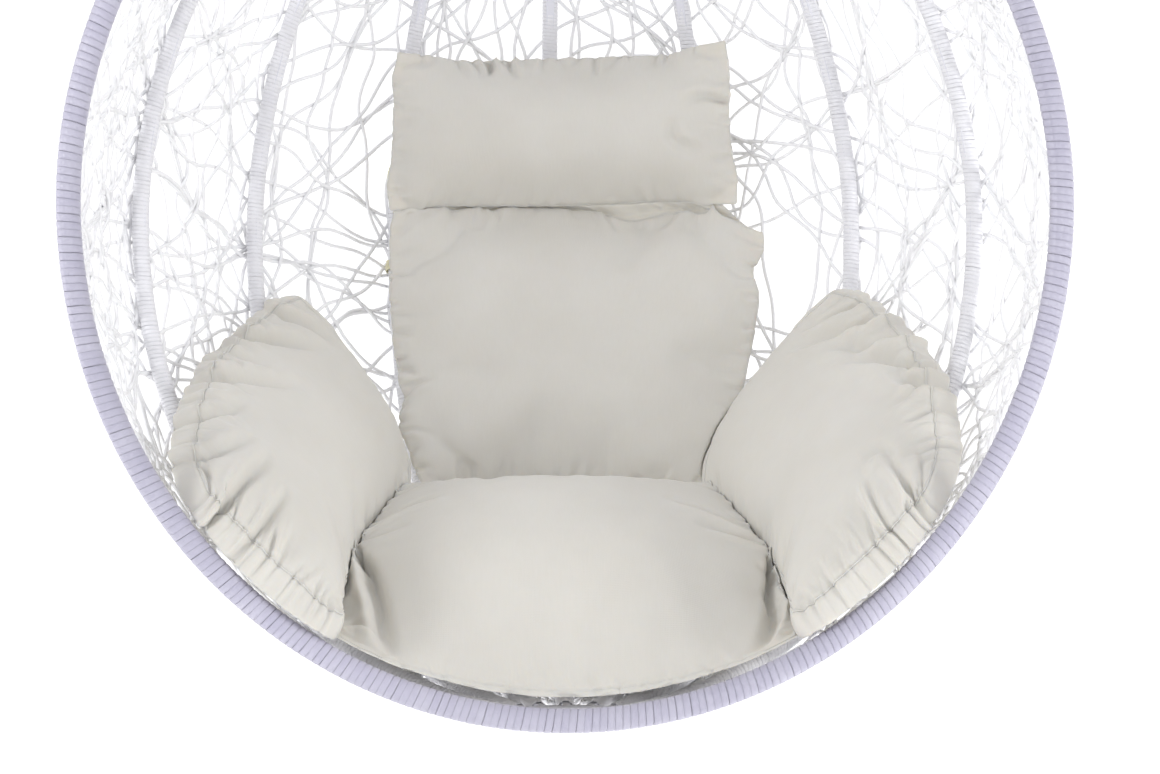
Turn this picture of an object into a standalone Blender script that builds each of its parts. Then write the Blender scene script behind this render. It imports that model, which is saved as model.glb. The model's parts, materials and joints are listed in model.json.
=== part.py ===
"""Hanging egg chair: a wicker-wrapped steel basket with loose cushions, hung on a spring and a swivel.

Metres, +Z up, +X to the sitter's left, +Y towards the back of the basket.
The origin is the point where the top snap hook bears on whatever holds the chair up.
The basket is drawn in its own coordinates, with the mouth in the plane Y = 0 and the widest
level of the mouth at Z = 0, and is then tipped back to hang in balance under the hook.
"""
from math import atan2, cos, pi, radians, sin

import bmesh
import bpy
from mathutils import Matrix, Vector

# ---- driving dimensions -----------------------------------------------------------------
GAP = 0.0003                    # between solids that touch on the real chair
BASKET_TILT = radians(17.1)     # the mouth leans back until the weight hangs under the hook

MOUTH_HALF_WIDTH = 0.5125       # centre of the rim tube
MOUTH_RISE = 0.600              # widest level up to the crown
MOUTH_DROP = 0.536              # widest level down to the foot of the rim
CROWN_NARROWING = 0.185         # makes the upper half egg-shaped
BASKET_DEPTH = 0.62             # mouth to the middle back rib
DEPTH_FULLNESS = 0.20           # how much fuller than an ellipse the back is near its ends
DEPTH_LEAN = 0.15               # deeper in the upper half than in the lower half

RIB_COUNT = 7
RIB_SPACING = radians(22.0)
RIM_TUBE_RADIUS = 0.0110
RIB_TUBE_RADIUS = 0.0080
WRAP_THICKNESS = 0.0014
RIM_WRAP_RADIUS = RIM_TUBE_RADIUS + GAP + WRAP_THICKNESS
RIB_WRAP_RADIUS = RIB_TUBE_RADIUS + GAP + WRAP_THICKNESS
RIM_SEAM = 0.0005               # half of the gap at the crown, where the bent tube closes on itself
RIM_SEGMENTS = 48
RIB_SEGMENTS = 17
RIB_STUB = 0.025
WEAVE_THICKNESS = 0.005
WEAVE_ROOM = 0.0085             # from a wrapped bar to the weave, with room for the cushion ties
WEAVE_ROWS = 12
WEAVE_COLUMNS = 3
WEAVE_END = radians(76.0)       # the weave stops where the ribs run together

HUB_RADIUS = 0.060
HUB_THICKNESS = 0.022
HUB_WELD = 0.0012               # from a hub's edge to the ribs welded to it
EYE_SETBACK = 0.036             # hanging eye behind the rim
HANGING_EYE_ROD = 0.0045
HANGING_EYE_HALF_WIDTH = 0.020
HANGING_EYE_LEG = 0.015

HOOK_ROD = 0.0040
HOOK_HALF_WIDTH = 0.016
HOOK_HEIGHT = 0.068             # centre of the top bend to centre of the bowl
GATE_ROD = 0.0032
GATE_PIN_RADIUS = 0.0011
GATE_PIN_HOLE = 0.0015
GATE_RELIEF = 0.0008            # gap between the gate's tip and the hook's nose
GATE_HEEL = 0.0036              # the gate runs on past its pin
NOSE_DROP = 0.0010              # the hook's nose below the centre of its top bend
BOWL_RISE = 0.0020              # the bowl's end above its centre, inside the knuckle
KNUCKLE = Vector((0.0090, 0.0124, 0.0130))
SLOT = Vector((0.0200, 0.0074, 0.0200))         # cut in the knuckle for the gate
SLOT_DEPTH = 0.0056             # slot's floor below the pin
CUT_LENGTH = 0.030              # of a drilling tool, longer than what it drills

SPRING_EYE_ROD = 0.0035
SPRING_EYE_RADIUS = 0.0115
SPRING_HEAD_RADIUS = 0.0105
SPRING_HEAD_HEIGHT = 0.004
COIL_WIRE = 0.0030
COIL_RADIUS = 0.0175
COIL_END_RADIUS = 0.0095
COIL_PITCH = 0.0066
COIL_TURNS = 13
COIL_TAPER_TURNS = 1.25
COIL_STEPS = 10                 # points in a turn
COIL_TO_EYE = 0.0040
COIL_TO_HEAD = 0.0090

BOW_HALF_WIDTH = 0.012
BOW_LEG = 0.018
BOW_SINK = 0.002                # the bow's legs run this far into the collar
COLLAR_RADIUS = 0.016
COLLAR_THICKNESS = 0.007
COLLAR_BORE = 0.0045
STEM_RADIUS = 0.0040
STEM_HEAD_RADIUS = 0.0068
STEM_HEAD_HEIGHT = 0.006
STEM_LENGTH = 0.006             # from the collar down to the hook's top bend

# ---- levels along the hanging line ------------------------------------------------------
TOP_HOOK_Z = HOOK_ROD
SWING_Z = TOP_HOOK_Z - HOOK_HEIGHT
UPPER_EYE_Z = SWING_Z + HOOK_ROD + GAP + SPRING_EYE_ROD - SPRING_EYE_RADIUS
COIL_TOP_Z = UPPER_EYE_Z - SPRING_EYE_RADIUS - SPRING_EYE_ROD - COIL_TO_EYE
COIL_FOOT_Z = COIL_TOP_Z - COIL_TURNS * COIL_PITCH
LOWER_EYE_Z = COIL_FOOT_Z - COIL_TO_EYE - SPRING_EYE_ROD - SPRING_EYE_RADIUS
SIDE_SWING_Z = LOWER_EYE_Z - SPRING_EYE_RADIUS + 2 * SPRING_EYE_ROD + GAP
COLLAR_TOP_Z = SIDE_SWING_Z - BOW_HALF_WIDTH - BOW_LEG
COLLAR_FOOT_Z = COLLAR_TOP_Z - COLLAR_THICKNESS
LOWER_HOOK_Z = COLLAR_FOOT_Z - STEM_LENGTH
TILT_Z = LOWER_HOOK_Z - HOOK_HEIGHT + HOOK_ROD + GAP + HANGING_EYE_ROD

# ---- cushions ---------------------------------------------------------------------------
WALL_STANDOFF = 0.016           # underside of a cushion off the basket's surface, clear of the ribs
SEAT_FRONT_Y = 0.015
SEAT_BACK_Y = 0.368
SEAT_FRONT_HALF = 0.262
SEAT_BACK_HALF = 0.175
SEAT_FRONT_TOP = -0.388
SEAT_BACK_TOP = -0.272
PAD_CENTER = radians(3.0)       # the back and head pads hang a little to one side
BACK_HALF = (radians(27.0), radians(30.5))      # at the foot and at the top
BACK_LEVELS = (radians(-39.0), radians(3.5))
BACK_THICKNESS = (0.050, 0.110)                 # at the sides and in the middle
HEAD_HALF = (radians(27.5), radians(28.0))
HEAD_LEVELS = (radians(3.7), radians(25.0))
HEAD_THICKNESS = (0.050, 0.105)
ARM_AZIMUTHS = (radians(87.0), radians(33.0))   # front end and back end
ARM_LOW_LEVELS = (radians(-60.0), radians(-42.0))
ARM_HIGH_LEVELS = (radians(-28.0), radians(-6.0))
ARM_THICKNESS = (0.045, 0.095)
TIE_HEIGHTS = {"upper": 0.085, "lower": -0.035}
TIE_ROD = 0.0025
TIE_SLACK = 0.0015              # between a tie and the wound rib


def clear_scene():
    for obj in list(bpy.data.objects):
        bpy.data.objects.remove(obj, do_unlink=True)


def new_collection(name):
    collection = bpy.data.collections.new(name)
    bpy.context.scene.collection.children.link(collection)
    return collection


clear_scene()
CHAIR = new_collection("hanging_egg_chair")
CUTTERS = new_collection("cutters")


def material(name, color, roughness, metallic=0.0):
    made = bpy.data.materials.new(name)
    made.use_nodes = True
    surface = made.node_tree.nodes["Principled BSDF"]
    surface.inputs["Base Color"].default_value = (*color, 1.0)
    surface.inputs["Roughness"].default_value = roughness
    surface.inputs["Metallic"].default_value = metallic
    return made


POWDER_COAT = ((0.80, 0.80, 0.82), 0.45, 0.0)
PE_WICKER = ((0.78, 0.78, 0.82), 0.35, 0.0)
CREAM_FABRIC = ((0.83, 0.80, 0.70), 0.90, 0.0)
TIE_FABRIC = ((0.80, 0.76, 0.62), 0.90, 0.0)
ZINC_STEEL = ((0.62, 0.63, 0.65), 0.30, 1.0)


# ---- making and placing -----------------------------------------------------------------
def add_empty(name, location, parent=None):
    empty = bpy.data.objects.new(name, None)
    CHAIR.objects.link(empty)
    empty.location = location
    empty.parent = parent
    return empty


def place(obj, look, joint, origin):
    """Give a part its own material and hang it on its joint's empty, which stands at origin."""
    obj.data.materials.clear()
    obj.data.materials.append(material(obj.name + "_material", *look))
    for collection in list(obj.users_collection):
        collection.objects.unlink(obj)
    CHAIR.objects.link(obj)
    obj.parent = joint
    obj.matrix_parent_inverse = Matrix.Translation(-Vector(origin))
    return obj


def smooth(obj, angle=40.0):
    obj.data.shade_smooth()
    obj.data.set_sharp_from_angle(angle=radians(angle))


def rod(name, points, radius, closed=False, caps=True, sides=8):
    """A round bar or wire along the points."""
    curve = bpy.data.curves.new(name, "CURVE")
    curve.dimensions = "3D"
    curve.bevel_depth = radius
    curve.bevel_resolution = sides // 2 - 2
    curve.use_fill_caps = caps and not closed
    spline = curve.splines.new("POLY")
    spline.points.add(len(points) - 1)
    for target, point in zip(spline.points, points):
        target.co = (*point, 1.0)
    spline.use_cyclic_u = closed
    spline.use_smooth = True
    obj = bpy.data.objects.new(name, curve)
    CHAIR.objects.link(obj)
    return obj


def sleeve(name, points, outer_radius, thickness, sides=8):
    """A thin tube around the points, open at both ends."""
    obj = rod(name, points, outer_radius, caps=False, sides=sides)
    wall = obj.modifiers.new("wall", "SOLIDIFY")
    wall.thickness = thickness
    wall.offset = -1.0
    return obj


def as_mesh(curve_object):
    """The same bar as a welded mesh, so that it can be cut and joined."""
    bpy.context.view_layer.update()
    graph = bpy.context.evaluated_depsgraph_get()
    mesh = bpy.data.meshes.new_from_object(curve_object.evaluated_get(graph))
    name = curve_object.name
    matrix = curve_object.matrix_world.copy()
    bpy.data.objects.remove(curve_object, do_unlink=True)
    shape = bmesh.new()
    shape.from_mesh(mesh)
    bmesh.ops.remove_doubles(shape, verts=shape.verts, dist=1e-6)
    shape.to_mesh(mesh)
    shape.free()
    obj = bpy.data.objects.new(name, mesh)
    obj.matrix_world = matrix
    CHAIR.objects.link(obj)
    return obj


def cylinder(name, radius, height, center, axis="Z", sides=16):
    turn = {"X": (0, pi / 2, 0), "Y": (pi / 2, 0, 0), "Z": (0, 0, 0)}[axis]
    bpy.ops.mesh.primitive_cylinder_add(
        vertices=sides, radius=radius, depth=height, location=center, rotation=turn)
    return bake_transform(bpy.context.object, name)


def box(name, size, center):
    bpy.ops.mesh.primitive_cube_add(size=1.0, location=center, scale=size)
    return bake_transform(bpy.context.object, name)


def ring(name, radius, rod_radius, center, axis):
    turn = {"X": (0, pi / 2, 0), "Y": (pi / 2, 0, 0)}[axis]
    bpy.ops.mesh.primitive_torus_add(
        major_radius=radius, minor_radius=rod_radius, major_segments=20, minor_segments=8,
        location=center, rotation=turn)
    return bake_transform(bpy.context.object, name)


def bake_transform(obj, name):
    obj.name = name
    bpy.context.view_layer.update()
    obj.data.transform(obj.matrix_world)
    obj.matrix_world = Matrix.Identity(4)
    return obj


def combine(base, other, operation):
    """Join or cut a solid with another, which becomes a hidden tool."""
    for collection in list(other.users_collection):
        collection.objects.unlink(other)
    CUTTERS.objects.link(other)
    other.hide_render = True
    other.display_type = "WIRE"
    change = base.modifiers.new(other.name, "BOOLEAN")
    change.operation = operation
    change.object = other
    change.solver = "EXACT"


# ---- the basket's surface ---------------------------------------------------------------
def mix(low, high, share):
    return low + (high - low) * share


def basket_point(azimuth, level):
    """A point of the basket: azimuth 0 is the middle back, level runs from -90 to 90 degrees."""
    rise = sin(level)
    reach = max(cos(level), 0.0)
    narrowing = CROWN_NARROWING * rise * rise if rise > 0 else 0.0
    width_scale = MOUTH_HALF_WIDTH * (1.0 - narrowing)
    depth_scale = BASKET_DEPTH * (1.0 + DEPTH_FULLNESS * rise * rise) * (1.0 + DEPTH_LEAN * rise)
    evened = atan2(sin(azimuth) * depth_scale, cos(azimuth) * width_scale)
    azimuth = mix(azimuth, evened, rise ** 6)
    height = (MOUTH_RISE if rise > 0 else MOUTH_DROP) * rise
    return Vector((width_scale * reach * sin(azimuth), depth_scale * reach * cos(azimuth), height))


def rim_point(turn):
    """The mouth: turn 0 is the crown, and it runs once round by the right side."""
    level = pi / 2 - turn if turn <= pi else turn - 3 * pi / 2
    side = pi / 2 if turn <= pi else -pi / 2
    return basket_point(side, level)


def rib_azimuths():
    middle = (RIB_COUNT - 1) / 2
    return [(index - middle) * RIB_SPACING for index in range(RIB_COUNT)]


def level_at(azimuth, side, radius):
    """The level, above (side 1) or below (side -1) the middle, where a rib is radius from the axis."""
    low = 0.0
    high = pi / 2
    while high - low > 1e-6:
        middle = (low + high) / 2
        if basket_point(azimuth, side * middle).xy.length > radius:
            low = middle
        else:
            high = middle
    return side * low


def rib_path(azimuth):
    """From the foot hub to the crown hub, with a short straight stub at each."""
    hub_edge = HUB_RADIUS + HUB_WELD
    foot = level_at(azimuth, -1, hub_edge + RIB_STUB)
    head = level_at(azimuth, 1, hub_edge + RIB_STUB)
    levels = [mix(foot, head, step / RIB_SEGMENTS) for step in range(RIB_SEGMENTS + 1)]
    levels = [level_at(azimuth, -1, hub_edge), *levels, level_at(azimuth, 1, hub_edge)]
    return [basket_point(azimuth, level) for level in levels]


# ---- basket parts -----------------------------------------------------------------------
def make_rim(parent):
    seam = RIM_SEAM / (MOUTH_HALF_WIDTH * (1.0 - CROWN_NARROWING))
    turns = [2 * pi * step / RIM_SEGMENTS for step in range(1, RIM_SEGMENTS)]
    path = [rim_point(turn) for turn in (seam, *turns, 2 * pi - seam)]
    tube = rod("rim_tube", path, RIM_TUBE_RADIUS)
    place(tube, POWDER_COAT, parent, (0, 0, 0))
    wrap = sleeve("rim_wrap", path, RIM_WRAP_RADIUS, WRAP_THICKNESS)
    place(wrap, PE_WICKER, parent, (0, 0, 0))


def make_ribs(parent):
    for number, azimuth in enumerate(rib_azimuths(), start=1):
        path = rib_path(azimuth)
        tube = rod(f"rib_tube_{number}", path, RIB_TUBE_RADIUS, sides=6)
        place(tube, POWDER_COAT, parent, (0, 0, 0))
        wrap = sleeve(f"rib_wrap_{number}", path, RIB_WRAP_RADIUS, WRAP_THICKNESS, sides=6)
        place(wrap, PE_WICKER, parent, (0, 0, 0))


def weave_row(left, right, left_inset, right_inset, level):
    """Points across one bay of the basket, kept clear of the two bars beside it."""
    start = basket_point(left, level)
    end = basket_point(right, level)
    width = (end - start).length
    share_left = left_inset / width
    share_right = right_inset / width
    row = []
    for column in range(WEAVE_COLUMNS + 1):
        share = share_left + (1.0 - share_left - share_right) * column / WEAVE_COLUMNS
        row.append(basket_point(left + (right - left) * share, level))
    return row


def make_weave_panel(name, left, right, left_inset, right_inset, parent):
    shape = bmesh.new()
    rows = []
    for step in range(WEAVE_ROWS + 1):
        level = -WEAVE_END + 2 * WEAVE_END * step / WEAVE_ROWS
        points = weave_row(left, right, left_inset, right_inset, level)
        rows.append([shape.verts.new(point) for point in points])
    for lower, upper in zip(rows, rows[1:]):
        for column in range(WEAVE_COLUMNS):
            shape.faces.new((lower[column], upper[column], upper[column + 1], lower[column + 1]))
    mesh = bpy.data.meshes.new(name)
    shape.to_mesh(mesh)
    shape.free()
    panel = bpy.data.objects.new(name, mesh)
    thickness = panel.modifiers.new("thickness", "SOLIDIFY")
    thickness.thickness = WEAVE_THICKNESS
    thickness.offset = 0.0
    smooth(panel)
    place(panel, PE_WICKER, parent, (0, 0, 0))


def make_weave(parent):
    edges = [-pi / 2, *rib_azimuths(), pi / 2]
    for number in range(1, len(edges)):
        left_radius = RIM_WRAP_RADIUS if number == 1 else RIB_WRAP_RADIUS
        right_radius = RIM_WRAP_RADIUS if number == len(edges) - 1 else RIB_WRAP_RADIUS
        make_weave_panel(f"weave_panel_{number}", edges[number - 1], edges[number],
                         left_radius + WEAVE_ROOM, right_radius + WEAVE_ROOM, parent)


def half_disc(name, height, front_y):
    """A plate of half a disc behind the rim, flat towards the rim."""
    curve = bpy.data.curves.new(name, "CURVE")
    curve.dimensions = "2D"
    curve.fill_mode = "BOTH"
    curve.extrude = HUB_THICKNESS / 2
    start = front_y / HUB_RADIUS
    steps = 16
    angles = [start + (pi - 2 * start) * step / steps for step in range(steps + 1)]
    spline = curve.splines.new("POLY")
    spline.points.add(steps)
    for target, angle in zip(spline.points, angles):
        target.co = (HUB_RADIUS * cos(angle), HUB_RADIUS * sin(angle), 0.0, 1.0)
    spline.use_cyclic_u = True
    obj = bpy.data.objects.new(name, curve)
    obj.location.z = height
    return obj


def make_hubs(parent):
    front_y = RIM_WRAP_RADIUS + GAP
    crown = half_disc("crown_hub", MOUTH_RISE, front_y)
    place(crown, POWDER_COAT, parent, (0, 0, 0))
    foot = half_disc("foot_hub", -MOUTH_DROP, front_y)
    place(foot, POWDER_COAT, parent, (0, 0, 0))


def hanging_eye_top():
    return MOUTH_RISE + HUB_THICKNESS / 2 + GAP + HANGING_EYE_LEG + HANGING_EYE_HALF_WIDTH


def make_hanging_eye(parent):
    """A bent bar standing on the crown hub, with its legs side by side."""
    bend_z = hanging_eye_top() - HANGING_EYE_HALF_WIDTH
    foot_z = bend_z - HANGING_EYE_LEG
    points = [Vector((HANGING_EYE_HALF_WIDTH, EYE_SETBACK, foot_z))]
    steps = 12
    for step in range(steps + 1):
        angle = pi * step / steps
        reach = HANGING_EYE_HALF_WIDTH
        points.append(Vector((reach * cos(angle), EYE_SETBACK, bend_z + reach * sin(angle))))
    points.append(Vector((-HANGING_EYE_HALF_WIDTH, EYE_SETBACK, foot_z)))
    eye = rod("hanging_eye", points, HANGING_EYE_ROD)
    place(eye, ZINC_STEEL, parent, (0, 0, 0))


# ---- cushions ---------------------------------------------------------------------------
def soft_block(name, shape_at, look, parent, cuts=1):
    """A rounded block: a divided cube whose points, from -1 to 1, are moved by shape_at."""
    shape = bmesh.new()
    bmesh.ops.create_cube(shape, size=2.0)
    bmesh.ops.subdivide_edges(shape, edges=shape.edges, cuts=cuts, use_grid_fill=True)
    for vert in shape.verts:
        vert.co = shape_at(*vert.co)
    mesh = bpy.data.meshes.new(name)
    shape.to_mesh(mesh)
    shape.free()
    obj = bpy.data.objects.new(name, mesh)
    rounding = obj.modifiers.new("rounding", "SUBSURF")
    rounding.levels = 1
    rounding.render_levels = 1
    smooth(obj, 80.0)
    place(obj, look, parent, (0, 0, 0))


def basket_normal(azimuth, level):
    """The direction into the basket, square to its surface."""
    step = 1e-3
    sideways = basket_point(azimuth + step, level) - basket_point(azimuth - step, level)
    upwards = basket_point(azimuth, level + step) - basket_point(azimuth, level - step)
    return sideways.cross(upwards).normalized()


def floor_height(x, y):
    """The height of the basket's lower half under a point of the plan."""
    low = -pi / 2
    high = 0.0
    while high - low > 1e-6:
        level = (low + high) / 2
        side = basket_point(pi / 2, level).x
        back = basket_point(0.0, level).y
        inside = (x / side) ** 2 + (y / back) ** 2 < 1.0
        low = low if inside else level
        high = level if inside else high
    return MOUTH_DROP * sin(low)


def seat_shape(across, along, up):
    """across is left to right, along is front to back, up is from the underside to the top."""
    share = (along + 1) / 2
    x = across * mix(SEAT_FRONT_HALF, SEAT_BACK_HALF, share)
    y = mix(SEAT_FRONT_Y, SEAT_BACK_Y, share)
    top = mix(SEAT_FRONT_TOP, SEAT_BACK_TOP, share)
    underside = floor_height(x, y) + WALL_STANDOFF
    return Vector((x, y, mix(underside, top, (up + 1) / 2)))


def wall_pad(azimuth_at, level_at, thickness):
    """A pad that lies on the basket's wall, thin at its sides and thick in the middle."""
    def shape_at(across, through, up):
        azimuth = azimuth_at(across, up)
        level = level_at(across, up)
        depth = mix(thickness[1], thickness[0], across * across)
        offset = WALL_STANDOFF + depth * (1 - through) / 2
        return basket_point(azimuth, level) + basket_normal(azimuth, level) * offset
    return shape_at


def upright_pad(halves, levels, thickness):
    """A pad against the back wall: across runs left to right, up from its foot to its top."""
    def azimuth_at(across, up):
        return PAD_CENTER + across * mix(*halves, (up + 1) / 2)

    def level_at(across, up):
        return mix(*levels, (up + 1) / 2)

    return wall_pad(azimuth_at, level_at, thickness)


def arm_shape(side):
    """A pad on the side wall that rises towards the back; across runs from front to back."""
    def azimuth_at(across, up):
        return side * mix(*ARM_AZIMUTHS, (across + 1) / 2)

    def level_at(across, up):
        low = mix(*ARM_LOW_LEVELS, (across + 1) / 2)
        high = mix(*ARM_HIGH_LEVELS, (across + 1) / 2)
        return mix(low, high, (up + 1) / 2)

    return wall_pad(azimuth_at, level_at, ARM_THICKNESS)


def flipped(shape_at):
    """The same shape for a mirrored part, with its faces still pointing out."""
    return lambda across, through, up: shape_at(-across, through, up)


def make_cushions(parent):
    soft_block("seat_cushion", seat_shape, CREAM_FABRIC, parent)
    back = upright_pad(BACK_HALF, BACK_LEVELS, BACK_THICKNESS)
    soft_block("back_cushion", back, CREAM_FABRIC, parent)
    head = upright_pad(HEAD_HALF, HEAD_LEVELS, HEAD_THICKNESS)
    soft_block("head_pillow", head, CREAM_FABRIC, parent)
    soft_block("arm_cushion_right", flipped(arm_shape(1)), CREAM_FABRIC, parent)
    soft_block("arm_cushion_left", arm_shape(-1), CREAM_FABRIC, parent)


def make_ties(parent):
    """Fabric loops that hold the cushions to the two ribs beside the middle one."""
    azimuths = rib_azimuths()
    sides = {"left": azimuths[2], "right": azimuths[4]}
    for side, azimuth in sides.items():
        for position, height in TIE_HEIGHTS.items():
            level = height / MOUTH_RISE
            center = basket_point(azimuth, level)
            along = (basket_point(azimuth, level + 0.01) - center).normalized()
            name = f"cushion_tie_{position}_{side}"
            bpy.ops.mesh.primitive_torus_add(
                major_radius=RIB_WRAP_RADIUS + TIE_ROD + TIE_SLACK, minor_radius=TIE_ROD,
                major_segments=12, minor_segments=6, location=center,
                rotation=along.to_track_quat("Z", "Y").to_euler())
            loop = bake_transform(bpy.context.object, name)
            smooth(loop)
            place(loop, TIE_FABRIC, parent, (0, 0, 0))


# ---- hanging hardware -------------------------------------------------------------------
def plane_point(across, height, plane):
    """A point in the hook's plane; across is measured towards the gate."""
    return Vector((across, 0.0, height)) if plane == "XZ" else Vector((0.0, across, height))


def in_plane(size, plane):
    """A box size, drawn for the XZ plane, turned into the hook's plane."""
    return size if plane == "XZ" else Vector((size.y, size.x, size.z))


def arc(center_z, start, end, plane, steps=8):
    angles = [start + (end - start) * step / steps for step in range(steps + 1)]
    return [plane_point(HOOK_HALF_WIDTH * cos(angle), center_z + HOOK_HALF_WIDTH * sin(angle), plane)
            for angle in angles]


def hook_levels(top_z):
    """Levels of the hook's two bend centres, and of the gate's pin and tip."""
    upper = top_z - HOOK_HALF_WIDTH
    lower = top_z - HOOK_HEIGHT + HOOK_HALF_WIDTH
    return upper, lower, lower + KNUCKLE.z / 2, upper - NOSE_DROP


def make_hook_body(name, top_z, plane):
    upper, lower, pin_z, nose_z = hook_levels(top_z)
    nose = plane_point(HOOK_HALF_WIDTH, nose_z, plane)
    points = [nose, *arc(upper, 0.0, pi, plane), *arc(lower, pi, 2 * pi, plane)]
    points.append(plane_point(HOOK_HALF_WIDTH, lower + BOWL_RISE, plane))
    body = as_mesh(rod(name, points, HOOK_ROD))
    center = plane_point(HOOK_HALF_WIDTH, pin_z, plane)
    combine(body, box(name + "_knuckle", in_plane(KNUCKLE, plane), center), "UNION")
    slot_center = center + Vector((0.0, 0.0, SLOT.z / 2 - SLOT_DEPTH))
    combine(body, box(name + "_slot", in_plane(SLOT, plane), slot_center), "DIFFERENCE")
    axis = "Y" if plane == "XZ" else "X"
    hole = cylinder(name + "_pin_hole", GATE_PIN_HOLE, CUT_LENGTH, center, axis, 12)
    combine(body, hole, "DIFFERENCE")
    smooth(body)
    return body


def make_gate(name, top_z, plane):
    _, _, pin_z, nose_z = hook_levels(top_z)
    foot = plane_point(HOOK_HALF_WIDTH, pin_z - GATE_HEEL, plane)
    tip = plane_point(HOOK_HALF_WIDTH, nose_z - GATE_RELIEF, plane)
    gate = as_mesh(rod(name, [foot, tip], GATE_ROD))
    axis = "Y" if plane == "XZ" else "X"
    center = plane_point(HOOK_HALF_WIDTH, pin_z, plane)
    hole = cylinder(name + "_pin_hole", GATE_PIN_HOLE, CUT_LENGTH, center, axis, 12)
    combine(gate, hole, "DIFFERENCE")
    smooth(gate)
    return gate


def make_gate_pin(name, top_z, plane):
    _, _, pin_z, _ = hook_levels(top_z)
    axis = "Y" if plane == "XZ" else "X"
    center = plane_point(HOOK_HALF_WIDTH, pin_z, plane)
    pin = cylinder(name, GATE_PIN_RADIUS, KNUCKLE.y, center, axis, 10)
    smooth(pin)
    return pin


def make_hook_gate(prefix, top_z, plane, body_joint, body_origin):
    """The gate on its own hinge empty, and the pin that stays with the hook."""
    _, _, pin_z, _ = hook_levels(top_z)
    pivot = plane_point(HOOK_HALF_WIDTH, pin_z, plane)
    local = pivot - Vector(body_origin)
    hinge = add_empty(f"joint_{prefix}_gate", local, body_joint)
    place(make_gate(f"{prefix}_gate", top_z, plane), ZINC_STEEL, hinge, pivot)
    pin = make_gate_pin(f"{prefix}_gate_pin", top_z, plane)
    place(pin, ZINC_STEEL, body_joint, body_origin)


def coil_radius(turn):
    from_end = min(turn, COIL_TURNS - turn)
    share = min(from_end / COIL_TAPER_TURNS, 1.0)
    return mix(COIL_END_RADIUS, COIL_RADIUS, share)


def make_coil(joint, origin):
    points = []
    for step in range(COIL_TURNS * COIL_STEPS + 1):
        turn = step / COIL_STEPS
        radius = coil_radius(turn)
        angle = 2 * pi * turn
        height = COIL_TOP_Z - turn * COIL_PITCH
        points.append(Vector((radius * cos(angle), radius * sin(angle), height)))
    coil = rod("spring_coil", points, COIL_WIRE, sides=6)
    place(coil, ZINC_STEEL, joint, origin)


def make_spring_eye(name, eye_z, coil_end_z, axis, joint, origin):
    """An eye on a stem whose head is caught inside the coil's tapered end."""
    down = 1.0 if coil_end_z < eye_z else -1.0
    stem_start = eye_z - down * SPRING_EYE_RADIUS
    head_near = coil_end_z - down * COIL_TO_HEAD
    head_far = head_near - down * SPRING_HEAD_HEIGHT
    eye = ring(name, SPRING_EYE_RADIUS, SPRING_EYE_ROD, (0, 0, eye_z), axis)
    stem_end = (head_near + head_far) / 2
    stem = cylinder(name + "_stem", SPRING_EYE_ROD, abs(stem_start - stem_end),
                    (0, 0, (stem_start + stem_end) / 2))
    head = cylinder(name + "_head", SPRING_HEAD_RADIUS, SPRING_HEAD_HEIGHT,
                    (0, 0, stem_end))
    combine(eye, stem, "UNION")
    combine(eye, head, "UNION")
    smooth(eye)
    place(eye, ZINC_STEEL, joint, origin)


def make_swivel_bow(joint, origin):
    bend_z = SIDE_SWING_Z - BOW_HALF_WIDTH
    foot_z = COLLAR_TOP_Z - BOW_SINK
    points = [Vector((0.0, BOW_HALF_WIDTH, foot_z))]
    steps = 10
    for step in range(steps + 1):
        angle = pi * step / steps
        points.append(Vector((0.0, BOW_HALF_WIDTH * cos(angle), bend_z + BOW_HALF_WIDTH * sin(angle))))
    points.append(Vector((0.0, -BOW_HALF_WIDTH, foot_z)))
    bow = as_mesh(rod("swivel_bow", points, SPRING_EYE_ROD))
    middle = (0, 0, (COLLAR_TOP_Z + COLLAR_FOOT_Z) / 2)
    combine(bow, cylinder("swivel_collar", COLLAR_RADIUS, COLLAR_THICKNESS, middle, sides=24), "UNION")
    combine(bow, cylinder("swivel_bore", COLLAR_BORE, CUT_LENGTH, middle), "DIFFERENCE")
    smooth(bow)
    place(bow, ZINC_STEEL, joint, origin)


def make_swivel_hook(joint, origin):
    hook = make_hook_body("swivel_hook", LOWER_HOOK_Z, "YZ")
    head_foot = COLLAR_TOP_Z + GAP
    head_z = head_foot + STEM_HEAD_HEIGHT / 2
    stem = cylinder("swivel_stem", STEM_RADIUS, head_z - LOWER_HOOK_Z,
                    (0, 0, (head_z + LOWER_HOOK_Z) / 2))
    combine(hook, stem, "UNION")
    combine(hook, cylinder("swivel_stem_head", STEM_HEAD_RADIUS, STEM_HEAD_HEIGHT, (0, 0, head_z)),
            "UNION")
    place(hook, ZINC_STEEL, joint, origin)


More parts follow.
